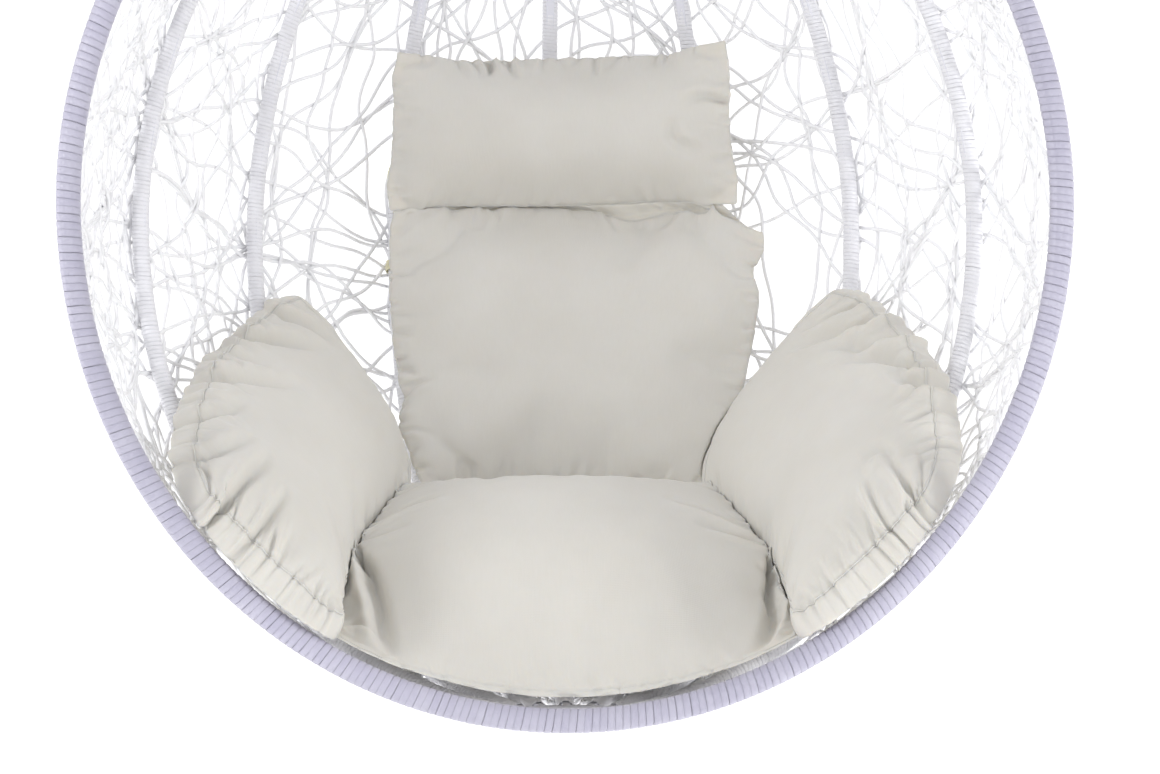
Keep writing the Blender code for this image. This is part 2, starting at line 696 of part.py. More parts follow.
# ---- assembly ---------------------------------------------------------------------------
def build():
    zero = Vector((0, 0, 0))
    hanger = add_empty("hanger", zero)
    place(make_hook_body("top_hook", TOP_HOOK_Z, "XZ"), ZINC_STEEL, hanger, zero)
    make_hook_gate("top_hook", TOP_HOOK_Z, "XZ", hanger, zero)

    swing_at = Vector((0, 0, SWING_Z))
    swing = add_empty("joint_swing_fore_aft", swing_at, hanger)
    make_spring_eye("spring_upper_eye", UPPER_EYE_Z, COIL_TOP_Z, "X", swing, swing_at)
    make_coil(swing, swing_at)

    bounce_at = Vector((0, 0, COIL_FOOT_Z))
    bounce = add_empty("joint_bounce", bounce_at - swing_at, swing)
    make_spring_eye("spring_lower_eye", LOWER_EYE_Z, COIL_FOOT_Z, "Y", bounce, bounce_at)

    side_at = Vector((0, 0, SIDE_SWING_Z))
    side = add_empty("joint_swing_side", side_at - bounce_at, bounce)
    make_swivel_bow(side, side_at)

    spin_at = Vector((0, 0, COLLAR_TOP_Z))
    spin = add_empty("joint_spin", spin_at - side_at, side)
    make_swivel_hook(spin, spin_at)
    make_hook_gate("swivel_hook", LOWER_HOOK_Z, "YZ", spin, spin_at)

    tilt_at = Vector((0, 0, TILT_Z))
    tilt = add_empty("joint_basket_tilt", tilt_at - spin_at, spin)
    basket = add_empty("basket_frame", zero, tilt)
    lean = Matrix.Rotation(-BASKET_TILT, 3, "X")
    basket.location = -(lean @ Vector((0, EYE_SETBACK, hanging_eye_top())))
    basket.rotation_euler = (-BASKET_TILT, 0, 0)
    make_rim(basket)
    make_ribs(basket)
    make_weave(basket)
    make_hubs(basket)
    make_hanging_eye(basket)
    make_cushions(basket)
    make_ties(basket)


build()
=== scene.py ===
"""Hanging egg chair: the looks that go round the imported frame.

The basket is drawn in its own coordinates, as in the CAD source: the mouth lies in the plane Y = 0,
its widest level is Z = 0, azimuth 0 is the middle back and level runs from -90 to 90 degrees.
BASKET carries those coordinates into the frame's.
"""
import json
from math import atan2, cos, pi, radians, sin

import bpy
import numpy as np
from mathutils import Matrix, Vector
from mathutils.bvhtree import BVHTree


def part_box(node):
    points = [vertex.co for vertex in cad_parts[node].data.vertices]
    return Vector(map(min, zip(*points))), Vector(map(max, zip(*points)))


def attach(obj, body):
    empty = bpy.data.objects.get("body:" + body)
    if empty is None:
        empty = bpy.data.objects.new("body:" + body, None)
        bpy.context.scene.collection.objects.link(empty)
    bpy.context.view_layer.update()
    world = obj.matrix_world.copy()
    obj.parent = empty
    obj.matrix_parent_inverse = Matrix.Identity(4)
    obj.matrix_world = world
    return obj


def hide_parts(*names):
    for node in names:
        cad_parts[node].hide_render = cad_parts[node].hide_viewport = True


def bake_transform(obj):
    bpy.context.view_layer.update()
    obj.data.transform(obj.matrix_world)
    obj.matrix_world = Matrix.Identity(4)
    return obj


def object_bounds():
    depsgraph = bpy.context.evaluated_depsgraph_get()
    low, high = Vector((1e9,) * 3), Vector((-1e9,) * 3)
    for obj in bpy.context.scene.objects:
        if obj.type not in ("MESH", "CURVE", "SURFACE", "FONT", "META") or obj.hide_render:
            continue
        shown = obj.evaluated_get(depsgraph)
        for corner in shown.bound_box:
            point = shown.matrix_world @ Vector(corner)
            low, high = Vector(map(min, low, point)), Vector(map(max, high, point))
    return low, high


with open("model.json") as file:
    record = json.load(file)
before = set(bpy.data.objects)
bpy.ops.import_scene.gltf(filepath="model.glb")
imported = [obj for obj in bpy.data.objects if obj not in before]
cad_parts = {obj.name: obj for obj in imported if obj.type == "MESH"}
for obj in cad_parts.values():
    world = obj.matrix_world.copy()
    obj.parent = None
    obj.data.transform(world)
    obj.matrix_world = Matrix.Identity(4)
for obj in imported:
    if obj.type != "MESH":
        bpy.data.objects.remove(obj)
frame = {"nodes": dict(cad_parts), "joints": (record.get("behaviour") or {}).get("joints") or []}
CAD_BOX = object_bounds()
JOINTS = {joint["name"]: joint for joint in frame["joints"]}
NODES = frame["nodes"]

# ---- driving dimensions -----------------------------------------------------------------
BASKET_TILT = radians(17.1)
MOUTH_HALF_WIDTH = 0.5125
MOUTH_RISE = 0.600
MOUTH_DROP = 0.536
CROWN_NARROWING = 0.185
BASKET_DEPTH = 0.62
DEPTH_FULLNESS = 0.20
DEPTH_LEAN = 0.15
EYE_TOP = Vector((0.0, 0.036, 0.6463))     # top of the hanging eye's bend

RIB_COUNT = 7
RIB_SPACING = radians(22.0)
RIM_BAR = 0.0113                # wound steel of the rim, where the strip lies on it
RIB_BAR = 0.0083
STRIP_THICKNESS = 0.0015
RIM_STRIP = 0.0079              # widths of the strips wound on the rim and on the ribs
RIB_STRIP = 0.0047
STRAND = 0.0023                 # radius of the open weave's round strands

BASKET = (Matrix.Translation(JOINTS["basket_tilt"]["pos_m"])
          @ Matrix.Rotation(-BASKET_TILT, 4, "X") @ Matrix.Translation(-EYE_TOP))


# ---- camera, floor and light ------------------------------------------------------------
VIEW_FROM = Vector((-0.1095, -2.8266, -0.2524))      # in the basket's coordinates
VIEW_ALONG = Vector((0.0428, 1.0, 0.0210))
LENS = 85.3
FLOOR_Z = CAD_BOX[0].z - 0.50
FLOOR_SIZE = 60.0
FLOOR_GLOW = 0.27
OVERHEAD_DIMMING = 0.40
FRONT_LIGHT = (0.62, 0.625, 0.65)
BACK_LIGHT = (1.20, 1.195, 1.18)


def make_camera():
    data = bpy.data.cameras.new("camera")
    data.lens = LENS
    data.sensor_width = 36.0
    data.clip_end = 100.0
    camera = bpy.data.objects.new("camera", data)
    bpy.context.scene.collection.objects.link(camera)
    back = -VIEW_ALONG.normalized()
    right = Vector((0, 0, 1)).cross(back).normalized()
    up = back.cross(right)
    turn = Matrix((right, up, back)).transposed().to_4x4()
    camera.matrix_world = BASKET @ Matrix.Translation(VIEW_FROM) @ turn
    bpy.context.scene.camera = camera


# ---- materials --------------------------------------------------------------------------
class Nodes:
    """A node tree whose nodes are added one call at a time."""

    def __init__(self, tree):
        self.tree = tree

    def fill(self, socket, value):
        """Link a socket to another node's output, or set it to a number, vector or colour."""
        if isinstance(value, bpy.types.NodeSocket):
            self.tree.links.new(value, socket)
        else:
            socket.default_value = value

    def add(self, kind, values=(), **settings):
        made = self.tree.nodes.new("ShaderNode" + kind)
        for key, value in settings.items():
            setattr(made, key, value)
        for name, value in dict(values).items():
            self.fill(made.inputs[name], value)
        return made

    def position(self):
        return self.add("TexCoord").outputs["Object"]

    def noise(self, scale, vector=None, detail=3.0, roughness=0.5):
        vector = vector or self.position()
        return self.add("TexNoise", {"Vector": vector, "Scale": scale, "Detail": detail,
                                     "Roughness": roughness}).outputs["Fac"]

    def scaled(self, vector, scale):
        """Coordinates stretched by scale, for streaks and grain."""
        return self.add("Mapping", {"Vector": vector, "Scale": scale}).outputs["Vector"]

    def attribute(self, name, output="Fac"):
        return self.add("Attribute", attribute_name=name).outputs[output]

    def ramp(self, value, low, high, start=0.0, end=1.0):
        return self.add("MapRange", {"Value": value, "From Min": start, "From Max": end,
                                     "To Min": low, "To Max": high}).outputs["Result"]

    def blend(self, share, first, second):
        made = self.add("Mix", data_type="RGBA")
        for name, value in (("Factor", share), ("A", (*first, 1.0)), ("B", (*second, 1.0))):
            self.fill(next(i for i in made.inputs if i.name == name and i.enabled), value)
        return next(o for o in made.outputs if o.enabled)

    def math(self, operation, first, second):
        made = self.add("Math", operation=operation)
        self.fill(made.inputs[0], first)
        self.fill(made.inputs[1], second)
        return made.outputs[0]


class Look(Nodes):
    """A Principled material; the constants are set on its own sockets."""

    def __init__(self, name, **constants):
        self.material = bpy.data.materials.new(name)
        self.material.use_nodes = True
        super().__init__(self.material.node_tree)
        self.surface = self.tree.nodes["Principled BSDF"]
        for socket, value in constants.items():
            self.surface.inputs[socket.replace("_", " ")].default_value = value

    def set(self, socket, value):
        self.tree.links.new(value, self.surface.inputs[socket])

    def bump(self, height, distance, strength=1.0):
        before = self.surface.inputs["Normal"].links
        values = {"Height": height, "Distance": distance, "Strength": strength}
        if before:
            values["Normal"] = before[0].from_socket
        self.set("Normal", self.add("Bump", values).outputs["Normal"])


def wicker_look(name, color, shade, roughness=0.33):
    """Moulded plastic: slightly mottled, ribbed along its length, scuffed to a duller finish."""
    look = Look(name, Coat_Weight=0.25, Coat_Roughness=0.22, Subsurface_Weight=0.25,
                Subsurface_Scale=0.003, Subsurface_Radius=(1.0, 1.0, 1.0))
    mottle = look.ramp(look.noise(38.0, detail=4.0), 0.0, 1.0, 0.35, 0.7)
    share = look.math("MULTIPLY", look.math("ADD", mottle, look.attribute("turn_tone")), 0.5)
    look.set("Base Color", look.blend(share, color, shade))
    scuffs = look.noise(260.0, detail=5.0, roughness=0.65)
    look.set("Roughness", look.ramp(scuffs, roughness - 0.08, roughness + 0.16, 0.3, 0.7))
    grooves = look.add("TexWave", {"Vector": look.attribute("strip", "Vector"), "Scale": 1.0,
                                   "Distortion": 0.4, "Detail": 1.0}, bands_direction="X")
    look.bump(grooves.outputs["Fac"], 0.00007)
    look.bump(look.noise(900.0, detail=2.0), 0.00004)
    return look.material


def powder_coat_look():
    look = Look("powder_coat", Coat_Weight=0.15, Coat_Roughness=0.3)
    tone = look.noise(22.0, detail=5.0)
    look.set("Base Color", look.blend(tone, (0.80, 0.80, 0.86), (0.70, 0.70, 0.76)))
    look.set("Roughness", look.ramp(look.noise(140.0), 0.35, 0.55))
    look.bump(look.noise(700.0, detail=2.0), 0.00012)
    return look.material


def zinc_look():
    """Zinc-plated steel: fine drawn scratches, a cloudy plating and duller rubbed places."""
    look = Look("zinc_steel", Metallic=1.0)
    clouds = look.noise(120.0, detail=4.0)
    look.set("Base Color", look.blend(clouds, (0.66, 0.67, 0.69), (0.50, 0.51, 0.54)))
    drawn = look.noise(60.0, look.scaled(look.position(), (1.0, 1.0, 22.0)), detail=5.0,
                       roughness=0.7)
    look.set("Roughness", look.ramp(drawn, 0.22, 0.42, 0.3, 0.7))
    look.bump(drawn, 0.00005)
    return look.material


def fabric_look(name, color, shade, thread=0.0009):
    """Plain-woven cloth; the weave follows the cloth's own coordinates, in metres."""
    look = Look(name, Sheen_Weight=0.25, Sheen_Roughness=0.45, Specular_IOR_Level=0.25,
                Subsurface_Weight=0.22, Subsurface_Scale=0.012, Subsurface_Radius=(1.0, 0.72, 0.42))
    cloth = look.attribute("cloth", "Vector")
    tone = look.ramp(look.noise(9.0, detail=5.0), 0.0, 1.0, 0.3, 0.75)
    slub = look.noise(450.0, look.scaled(cloth, (1.0, 0.12, 1.0)), detail=2.0)
    share = look.math("ADD", look.math("MULTIPLY", tone, 0.6), look.math("MULTIPLY", slub, 0.4))
    look.set("Base Color", look.blend(share, color, shade))
    look.set("Roughness", look.ramp(look.noise(60.0, detail=4.0), 0.78, 0.95))
    threads = []
    for direction in "XY":
        wave = look.add("TexWave", {"Vector": cloth, "Scale": 1.0 / (thread * 20.0) * pi,
                                    "Distortion": 0.15}, bands_direction=direction)
        threads.append(wave.outputs["Fac"])
    look.bump(look.math("MULTIPLY", *threads), 0.00012, 0.6)
    look.bump(look.noise(70.0, detail=4.0), 0.0006, 0.35)
    return look.material


# ---- floor and light --------------------------------------------------------------------
def area_light(name, location, target, size, power):
    data = bpy.data.lights.new(name, "AREA")
    data.shape = "DISK"
    data.size = size
    data.energy = power
    light = bpy.data.objects.new(name, data)
    bpy.context.scene.collection.objects.link(light)
    light.location = location
    aim = Vector(target) - Vector(location)
    light.rotation_euler = aim.to_track_quat("-Z", "Y").to_euler()


def make_surroundings():
    """A white studio that is brighter behind the chair than in front of it or overhead."""
    world = bpy.data.worlds.new("studio")
    world.use_nodes = True
    sky = Nodes(world.node_tree)
    direction = sky.add("SeparateXYZ", {"Vector": sky.add("TexCoord").outputs["Generated"]})
    above = sky.math("MAXIMUM", direction.outputs["Z"], 0.0)
    dimming = sky.math("MULTIPLY", above, OVERHEAD_DIMMING)
    behind = sky.math("SUBTRACT", direction.outputs["Y"], dimming)
    tone = sky.blend(sky.ramp(behind, 0.0, 1.0, -1.0, 1.0), FRONT_LIGHT, BACK_LIGHT)
    world.node_tree.links.new(tone, world.node_tree.nodes["Background"].inputs["Color"])
    return world


def make_stage():
    scene = bpy.context.scene
    scene.view_settings.view_transform = "Standard"
    scene.view_settings.look = "None"
    scene.world = make_surroundings()
    bpy.ops.mesh.primitive_grid_add(x_subdivisions=8, y_subdivisions=8, size=FLOOR_SIZE,
                                    location=(0, 0, FLOOR_Z))
    floor = bpy.context.object
    floor.name = "floor"
    look = bpy.data.materials.new("floor")
    look.use_nodes = True
    surface = look.node_tree.nodes["Principled BSDF"]
    surface.inputs["Base Color"].default_value = (0.98, 0.98, 0.98, 1.0)
    surface.inputs["Roughness"].default_value = 0.9
    surface.inputs["Emission Color"].default_value = (1.0, 1.0, 1.0, 1.0)
    surface.inputs["Emission Strength"].default_value = FLOOR_GLOW
    floor.data.materials.append(look)
    middle = BASKET @ Vector((0, 0.2, -0.1))
    sun = bpy.data.lights.new("daylight", "SUN")
    sun.energy = 0.4
    sun.angle = radians(80.0)
    sky = bpy.data.objects.new("daylight", sun)
    scene.collection.objects.link(sky)
    sky.rotation_euler = (radians(42.0), radians(-12.0), 0.0)
    area_light("left", middle + Vector((-2.5, -1.5, 0.9)), middle, 0.9, 23.0)
    area_light("right", middle + Vector((2.5, -1.3, 0.5)), middle, 0.9, 25.0)


# ---- the basket's surface ---------------------------------------------------------------
def mix(low, high, share):
    return low + (high - low) * share


def unit(vectors):
    """The same directions with a length of 1."""
    return vectors / np.linalg.norm(vectors, axis=-1, keepdims=True)


def smoothstep(value):
    value = np.clip(value, 0.0, 1.0)
    return value * value * (3 - 2 * value)


def basket_points(azimuth, level):
    """Points of the basket's surface, in its own coordinates, as an array."""
    azimuth, level = np.broadcast_arrays(np.asarray(azimuth, float), np.asarray(level, float))
    rise = np.sin(level)
    reach = np.maximum(np.cos(level), 0.0)
    width = MOUTH_HALF_WIDTH * (1.0 - np.where(rise > 0, CROWN_NARROWING * rise ** 2, 0.0))
    depth = BASKET_DEPTH * (1.0 + DEPTH_FULLNESS * rise ** 2) * (1.0 + DEPTH_LEAN * rise)
    evened = np.arctan2(np.sin(azimuth) * depth, np.cos(azimuth) * width)
    turned = mix(azimuth, evened, rise ** 6)
    height = np.where(rise > 0, MOUTH_RISE, MOUTH_DROP) * rise
    return np.stack([width * reach * np.sin(turned), depth * reach * np.cos(turned), height], -1)


def basket_normals(azimuth, level):
    """Unit vectors into the basket, square to its surface."""
    step = 1e-4
    sideways = basket_points(azimuth + step, level) - basket_points(azimuth - step, level)
    upwards = basket_points(azimuth, level + step) - basket_points(azimuth, level - step)
    return unit(np.cross(sideways, upwards))


def rim_points(turn):
    """The mouth: turn 0 is the crown, and it runs once round by the right side."""
    level = np.where(turn <= pi, pi / 2 - turn, turn - 3 * pi / 2)
    side = np.where(turn <= pi, pi / 2, -pi / 2)
    return basket_points(side, level)


def rib_azimuths():
    middle = (RIB_COUNT - 1) / 2
    return [(index - middle) * RIB_SPACING for index in range(RIB_COUNT)]


# ---- mesh helpers -----------------------------------------------------------------------
def new_piece(name, points, faces, look, body="basket", local=True):
    """A mesh piece that rides on a body; local points are in the basket's coordinates."""
    mesh = bpy.data.meshes.new(name)
    mesh.from_pydata(np.asarray(points, float).tolist(), [], faces)
    if local:
        mesh.transform(BASKET)
    mesh.update()
    mesh.shade_smooth()
    obj = bpy.data.objects.new(name, mesh)
    bpy.context.scene.collection.objects.link(obj)
    mesh.materials.append(look)
    if body:
        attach(obj, body)
    return obj


def store(obj, name, values):
    """Keep one number, or three, for each point of the mesh."""
    values = np.asarray(values, np.float32)
    if values.ndim == 1:
        obj.data.attributes.new(name, "FLOAT", "POINT").data.foreach_set("value", values)
    else:
        obj.data.attributes.new(name, "FLOAT_VECTOR", "POINT").data.foreach_set(
            "vector", values.ravel())


def squared(directions, tangents):
    """Unit vectors square to the tangents, as near to the directions as can be."""
    off = np.sum(directions * tangents, -1, keepdims=True)
    return unit(directions - tangents * off)


def on_line(places, known, points):
    """Points of a line at places along it, from points at known places."""
    return np.stack([np.interp(places, known, points[:, k]) for k in range(3)], -1)


class Track:
    """A line with a length along it, and two directions square to it that turn as little as they can."""

    def __init__(self, points, side):
        self.points = np.asarray(points, float)
        steps = np.linalg.norm(np.diff(self.points, axis=0), axis=1)
        self.along = np.concatenate([[0.0], np.cumsum(steps)])
        self.length = self.along[-1]
        self.tangent = unit(np.gradient(self.points, self.along, axis=0))
        self.side = squared(side, self.tangent)
        self.up = np.cross(self.tangent, self.side)

    def at(self, distance):
        """Centre, side and up directions at each distance; past an end the line runs straight on."""
        inside = np.clip(distance, 0.0, self.length)
        fields = (self.points, self.side, self.up, self.tangent)
        centre, side, up, tangent = (on_line(inside, self.along, field) for field in fields)
        centre = centre + tangent * (distance - inside)[..., None]
        return centre, side, up


def ring_faces(rings, sides, closed_ends=True):
    """Quads between successive rings of points, and a face over each end."""
    start = np.arange(rings - 1)[:, None] * sides
    here = np.arange(sides)[None, :]
    there = (here + 1) % sides
    quads = np.stack([start + here, start + there, start + sides + there, start + sides + here], -1)
    faces = quads.reshape(-1, 4).tolist()
    if closed_ends:
        faces.append(list(range(sides))[::-1])
        faces.append([(rings - 1) * sides + k for k in range(sides)])
    return faces


def round_rod(points, radius, sides, closed=False):
    """Points and faces of a round rod along a line, or round a closed one."""
    points = np.asarray(points, float)
    if closed:
        tangent = np.roll(points, -1, 0) - np.roll(points, 1, 0)
    else:
        tangent = np.gradient(points, axis=0)
    tangent = unit(tangent)
    side = np.empty_like(points)
    guide = np.cross(tangent[0], (0.31, 0.52, 0.79))
    for index, along in enumerate(tangent):
        guide = squared(guide, along)
        side[index] = guide
    if closed:      # spread what the guide has turned by over the whole way round
        last = side[-1] - tangent[0] * (side[-1] @ tangent[0])
        turned = atan2(np.cross(side[0], last) @ tangent[0], side[0] @ last)
    else:
        turned = 0.0
    up = np.cross(tangent, side)
    share = np.linspace(0.0, 1.0, len(points))[:, None]
    angle = np.linspace(0.0, 2 * pi, sides + 1)[None, :-1] - turned * share
    ring = np.cos(angle)[..., None] * side[:, None] + np.sin(angle)[..., None] * up[:, None]
    rings = points[:, None] + ring * np.asarray(radius).reshape(-1, 1, 1)
    faces = ring_faces(len(points), sides, closed_ends=not closed)
    if closed:
        base = (len(points) - 1) * sides
        for k in range(sides):
            turn = (k + 1) % sides
            faces.append([base + k, base + turn, turn, k])
    return rings.reshape(-1, 3), faces


def rounded(points, times, closed=False):
    """More points on a smooth curve through the given ones."""
    points = np.asarray(points, float)
    count = len(points)
    places = np.arange(count * times) / times if closed else np.arange((count - 1) * times + 1) / times
    whole = np.floor(places).astype(int)
    part = (places - whole)[:, None]
    near = [whole + k for k in (-1, 0, 1, 2)]
    near = [index % count if closed else np.clip(index, 0, count - 1) for index in near]
    a, b, c, d = (points[index] for index in near)
    return (b + 0.5 * part * (c - a + part * (2 * a - 5 * b + 4 * c - d
                                              + part * (3 * (b - c) + d - a))))


def ribbon(points, across, width, thickness):
    """Points and faces of a flat tape along a line; across is the way its width lies."""
    points = np.asarray(points, float)
    tangent = unit(np.gradient(points, axis=0))
    across = squared(across, tangent)
    out = np.cross(tangent, across)
    outline = [(-0.5, -0.3), (-0.5, 0.3), (-0.42, 0.5), (0.42, 0.5), (0.5, 0.3), (0.5, -0.3),
               (0.42, -0.5), (-0.42, -0.5)]
    rings = np.stack([points + across * (w * width) + out * (h * thickness) for w, h in outline], 1)
    faces = [face[::-1] for face in ring_faces(len(points), len(outline))]
    return rings.reshape(-1, 3), faces


def together(parts):
    """Several (points, faces) as one."""
    points = []
    faces = []
    for more_points, more_faces in parts:
        base = sum(len(block) for block in points)
        points.append(more_points)
        faces += [[base + k for k in face] for face in more_faces]
    return np.concatenate(points), faces


# ---- wound strip ------------------------------------------------------------------------
RIB_ENDS = (radians(-82.5), radians(82.5))     # where the windings stop beside the hubs
STRIP_OUTLINE = np.array([(-0.50, 0.30), (-0.47, 0.66), (-0.30, 0.93), (0.0, 1.0), (0.30, 0.93),
                          (0.47, 0.66), (0.50, 0.30)])     # shares of the width and the thickness


def wound_strip(name, track, bar, strip_width, steps, look, replaced, seed):
    """A flat plastic strip wound round a bar, turn against turn, as one swept ribbon."""
    random = np.random.default_rng(seed)
    turns = int(track.length / strip_width)
    pitch = track.length / turns
    count = turns * steps + 1
    turn = np.arange(count) / steps
    knots = np.arange(turns + 2)
    drift = np.interp(turn, knots, random.normal(0.0, 0.022, turns + 2)) * pitch
    lift = np.interp(turn, knots, random.uniform(0.0, 0.00014, turns + 2))
    width = pitch * 1.01
    along = turn[:, None] * pitch + drift[:, None] + STRIP_OUTLINE[None, :, 0] * width
    centre, side, up = track.at(along)
    angle = -2 * pi * turn[:, None, None]
    height = bar + lift[:, None] + STRIP_OUTLINE[None, :, 1] * STRIP_THICKNESS
    points = centre + height[..., None] * (np.cos(angle) * side + np.sin(angle) * up)
    sides = len(STRIP_OUTLINE)
    faces = ring_faces(count, sides)
    obj = new_piece(name, points.reshape(-1, 3), faces, look)
    tone = np.interp(turn, knots, random.uniform(0.0, 1.0, turns + 2))
    store(obj, "turn_tone", np.repeat(tone, sides))
    across = np.broadcast_to(STRIP_OUTLINE[None, :, 0] * 22.0, (count, sides))
    strip = np.stack([across, np.repeat(turn[:, None], sides, 1), np.zeros((count, sides))], -1)
    store(obj, "strip", strip.reshape(-1, 3))
    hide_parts(replaced)


def wind_rim(look):
    turns = np.linspace(0.0, 2 * pi, 1500)
    track = Track(rim_points(turns), np.array([0.0, -1.0, 0.0]))
    wound_strip("rim_winding", track, RIM_BAR, RIM_STRIP, 20, look, "rim_wrap", 11)


def wind_ribs(look):
    for number, azimuth in enumerate(rib_azimuths(), start=1):
        levels = np.linspace(RIB_ENDS[0], RIB_ENDS[1], 500)
        side = np.array([cos(azimuth), -sin(azimuth), 0.0])
        track = Track(basket_points(azimuth, levels), side)
        wound_strip(f"rib_winding_{number}", track, RIB_BAR, RIB_STRIP, 10, look,
                    f"rib_wrap_{number}", 20 + number)


# ---- open weave -------------------------------------------------------------------------
WEAVE_ENDS = (radians(-79.0), radians(79.0))
STEP = 0.009        # between the points of a strand
SLANTING = 66       # strands that start from each side of the rim


def surface_scale(azimuth, level):
    """Metres for each radian of azimuth and of level."""
    step = 1e-4
    sideways = basket_points(azimuth + step, level) - basket_points(azimuth - step, level)
    upwards = basket_points(azimuth, level + step) - basket_points(azimuth, level - step)
    return (np.linalg.norm(sideways, axis=-1) / (2 * step),
            np.linalg.norm(upwards, axis=-1) / (2 * step))


def wandering_strand(random, azimuth, level, heading, wander, waves):
    """One strand laid over the basket from a starting point until it leaves the weave.

    heading is measured from level ground; the strand wanders about it in curves whose lengths
    are between the two of waves.
    """
    line = [(azimuth, level)]
    phase = random.uniform(0.0, 2 * pi, 3)
    length = random.uniform(*waves, 3)
    travelled = 0.0
    bend = 0.0
    while len(line) < 400:
        wide, tall = surface_scale(azimuth, level)
        bend += random.normal(0.0, 0.035) - bend * 0.03
        swing = sum(sin(travelled * 2 * pi / length[k] + phase[k]) for k in range(3)) * wander
        course = heading + swing + bend
        azimuth += cos(course) * STEP / max(wide, 0.03)
        level += sin(course) * STEP / tall
        travelled += STEP
        line.append((azimuth, level))
        if abs(azimuth) >= pi / 2 or not WEAVE_ENDS[0] < level < WEAVE_ENDS[1]:
            break
    line = np.array(line)
    line[:, 0] = np.clip(line[:, 0], -pi / 2, pi / 2)
    return line


def lay_strands(random):
    """Upright strands in every bay, and slanting ones that cross the ribs, rim to rim."""
    lines = []
    bays = [-pi / 2, *rib_azimuths(), pi / 2]
    for left, right in zip(bays, bays[1:]):
        outer = left < bays[1] or right > bays[-2]
        count = 12 if outer else 8
        for place in range(count):
            azimuth = mix(left, right, (place + random.uniform(0.2, 0.8)) / count)
            up = random.uniform() < 0.5
            level = WEAVE_ENDS[0] + 0.01 if up else WEAVE_ENDS[1] - 0.01
            heading = (1 if up else -1) * (pi / 2 + random.normal(0.0, 0.05))
            wander, waves = (0.34, (0.08, 0.17)) if outer else (0.22, (0.10, 0.28))
            lines.append(wandering_strand(random, azimuth, level, heading, wander, waves))
    for side in (-1, 1):
        for place in range(SLANTING):
            share = (place + random.uniform(0.1, 0.9)) / SLANTING
            level = mix(WEAVE_ENDS[0], WEAVE_ENDS[1], share)
            slope = random.choice((-1, 1)) * random.uniform(0.25, 1.0)
            heading = slope if side < 0 else pi - slope
            lines.append(wandering_strand(random, side * (pi / 2 - 1e-4), level, heading, 0.17,
                                          (0.10, 0.30)))
    return lines


def crossings(lines):
    """For each strand, where along it others cross, as (distance, other strand, its distance)."""
    cell = 0.05
    buckets = {}
    scale = np.array([0.5, 0.55])
    for index, line in enumerate(lines):
        flat = line * scale
        for step in range(len(line) - 1):
            key = tuple(np.floor((flat[step] + flat[step + 1]) / (2 * cell)).astype(int))
            buckets.setdefault(key, []).append((index, step))
    found = {index: [] for index in range(len(lines))}
    for (column, row), here in buckets.items():
        near = [item for dc in (-1, 0, 1) for dr in (-1, 0, 1)
                for item in buckets.get((column + dc, row + dr), ())]
        for index, step in here:
            start = lines[index][step]
            go = lines[index][step + 1] - start
            for other, place in near:
                if other <= index:
                    continue
                begin = lines[other][place]
                move = lines[other][place + 1] - begin
                area = go[0] * move[1] - go[1] * move[0]
                if abs(area) < 1e-12:
                    continue
                gap = begin - start
                first = (gap[0] * move[1] - gap[1] * move[0]) / area
                second = (gap[0] * go[1] - gap[1] * go[0]) / area
                if 0 <= first < 1 and 0 <= second < 1:
                    found[index].append((step + first, other, place + second))
                    found[other].append((place + second, index, step + first))
    return found


def over_and_under(lines):
    """Each strand's height off the weave's middle, so that it passes over one and under the next."""
    found = crossings(lines)
    chosen = {}
    knots = [[] for _ in lines]
    for index in range(len(lines)):
        side = 1
        last = -99.0
        for place, other, there in sorted(found[index]):
            key = (other, index, round(there, 6))
            if key in chosen:
                side = -chosen[key]
            elif place - last > 0.8:
                side = -side
            chosen[(index, other, round(place, 6))] = side
            knots[index].append((place, side))
            last = place
    heights = []
    for index, line in enumerate(lines):
        if not knots[index]:
            heights.append(np.zeros(len(line)))
            continue
        places, sides = np.array(knots[index]).T
        steps = np.arange(len(line), dtype=float)
        height = np.interp(steps, places, sides)
        heights.append(height * STRAND * 0.95)
    return heights


def weave_lift(azimuth):
    """How far outside the bars' middle line the weave lies: behind the ribs, level with the rim."""
    behind = RIB_BAR + STRIP_THICKNESS + 2.2 * STRAND
    between = 0.003
    outer = RIB_SPACING * (RIB_COUNT - 1) / 2
    wave = np.cos(pi * azimuth / RIB_SPACING) ** 2
    inner = mix(between, behind, wave)
    edge = (np.abs(azimuth) - outer) / (pi / 2 - outer)
    return np.where(edge > 0, mix(behind, 0.0, smoothstep(edge)), inner)


def strand_rings(line, height):
    """Ring points of the round strand along a line over the basket."""
    azimuth, level = line.T
    normal = basket_normals(azimuth, level)
    centre = basket_points(azimuth, level) + normal * (height - weave_lift(azimuth))[:, None]
    tangent = unit(np.gradient(centre, axis=0))
    side = unit(np.cross(tangent, normal))
    up = np.cross(side, tangent)
    angle = np.linspace(0.0, 2 * pi, 7)[:-1]
    ring = (np.cos(angle)[None, :, None] * side[:, None, :]
            + np.sin(angle)[None, :, None] * up[:, None, :]) * STRAND
    return centre[:, None, :] + ring


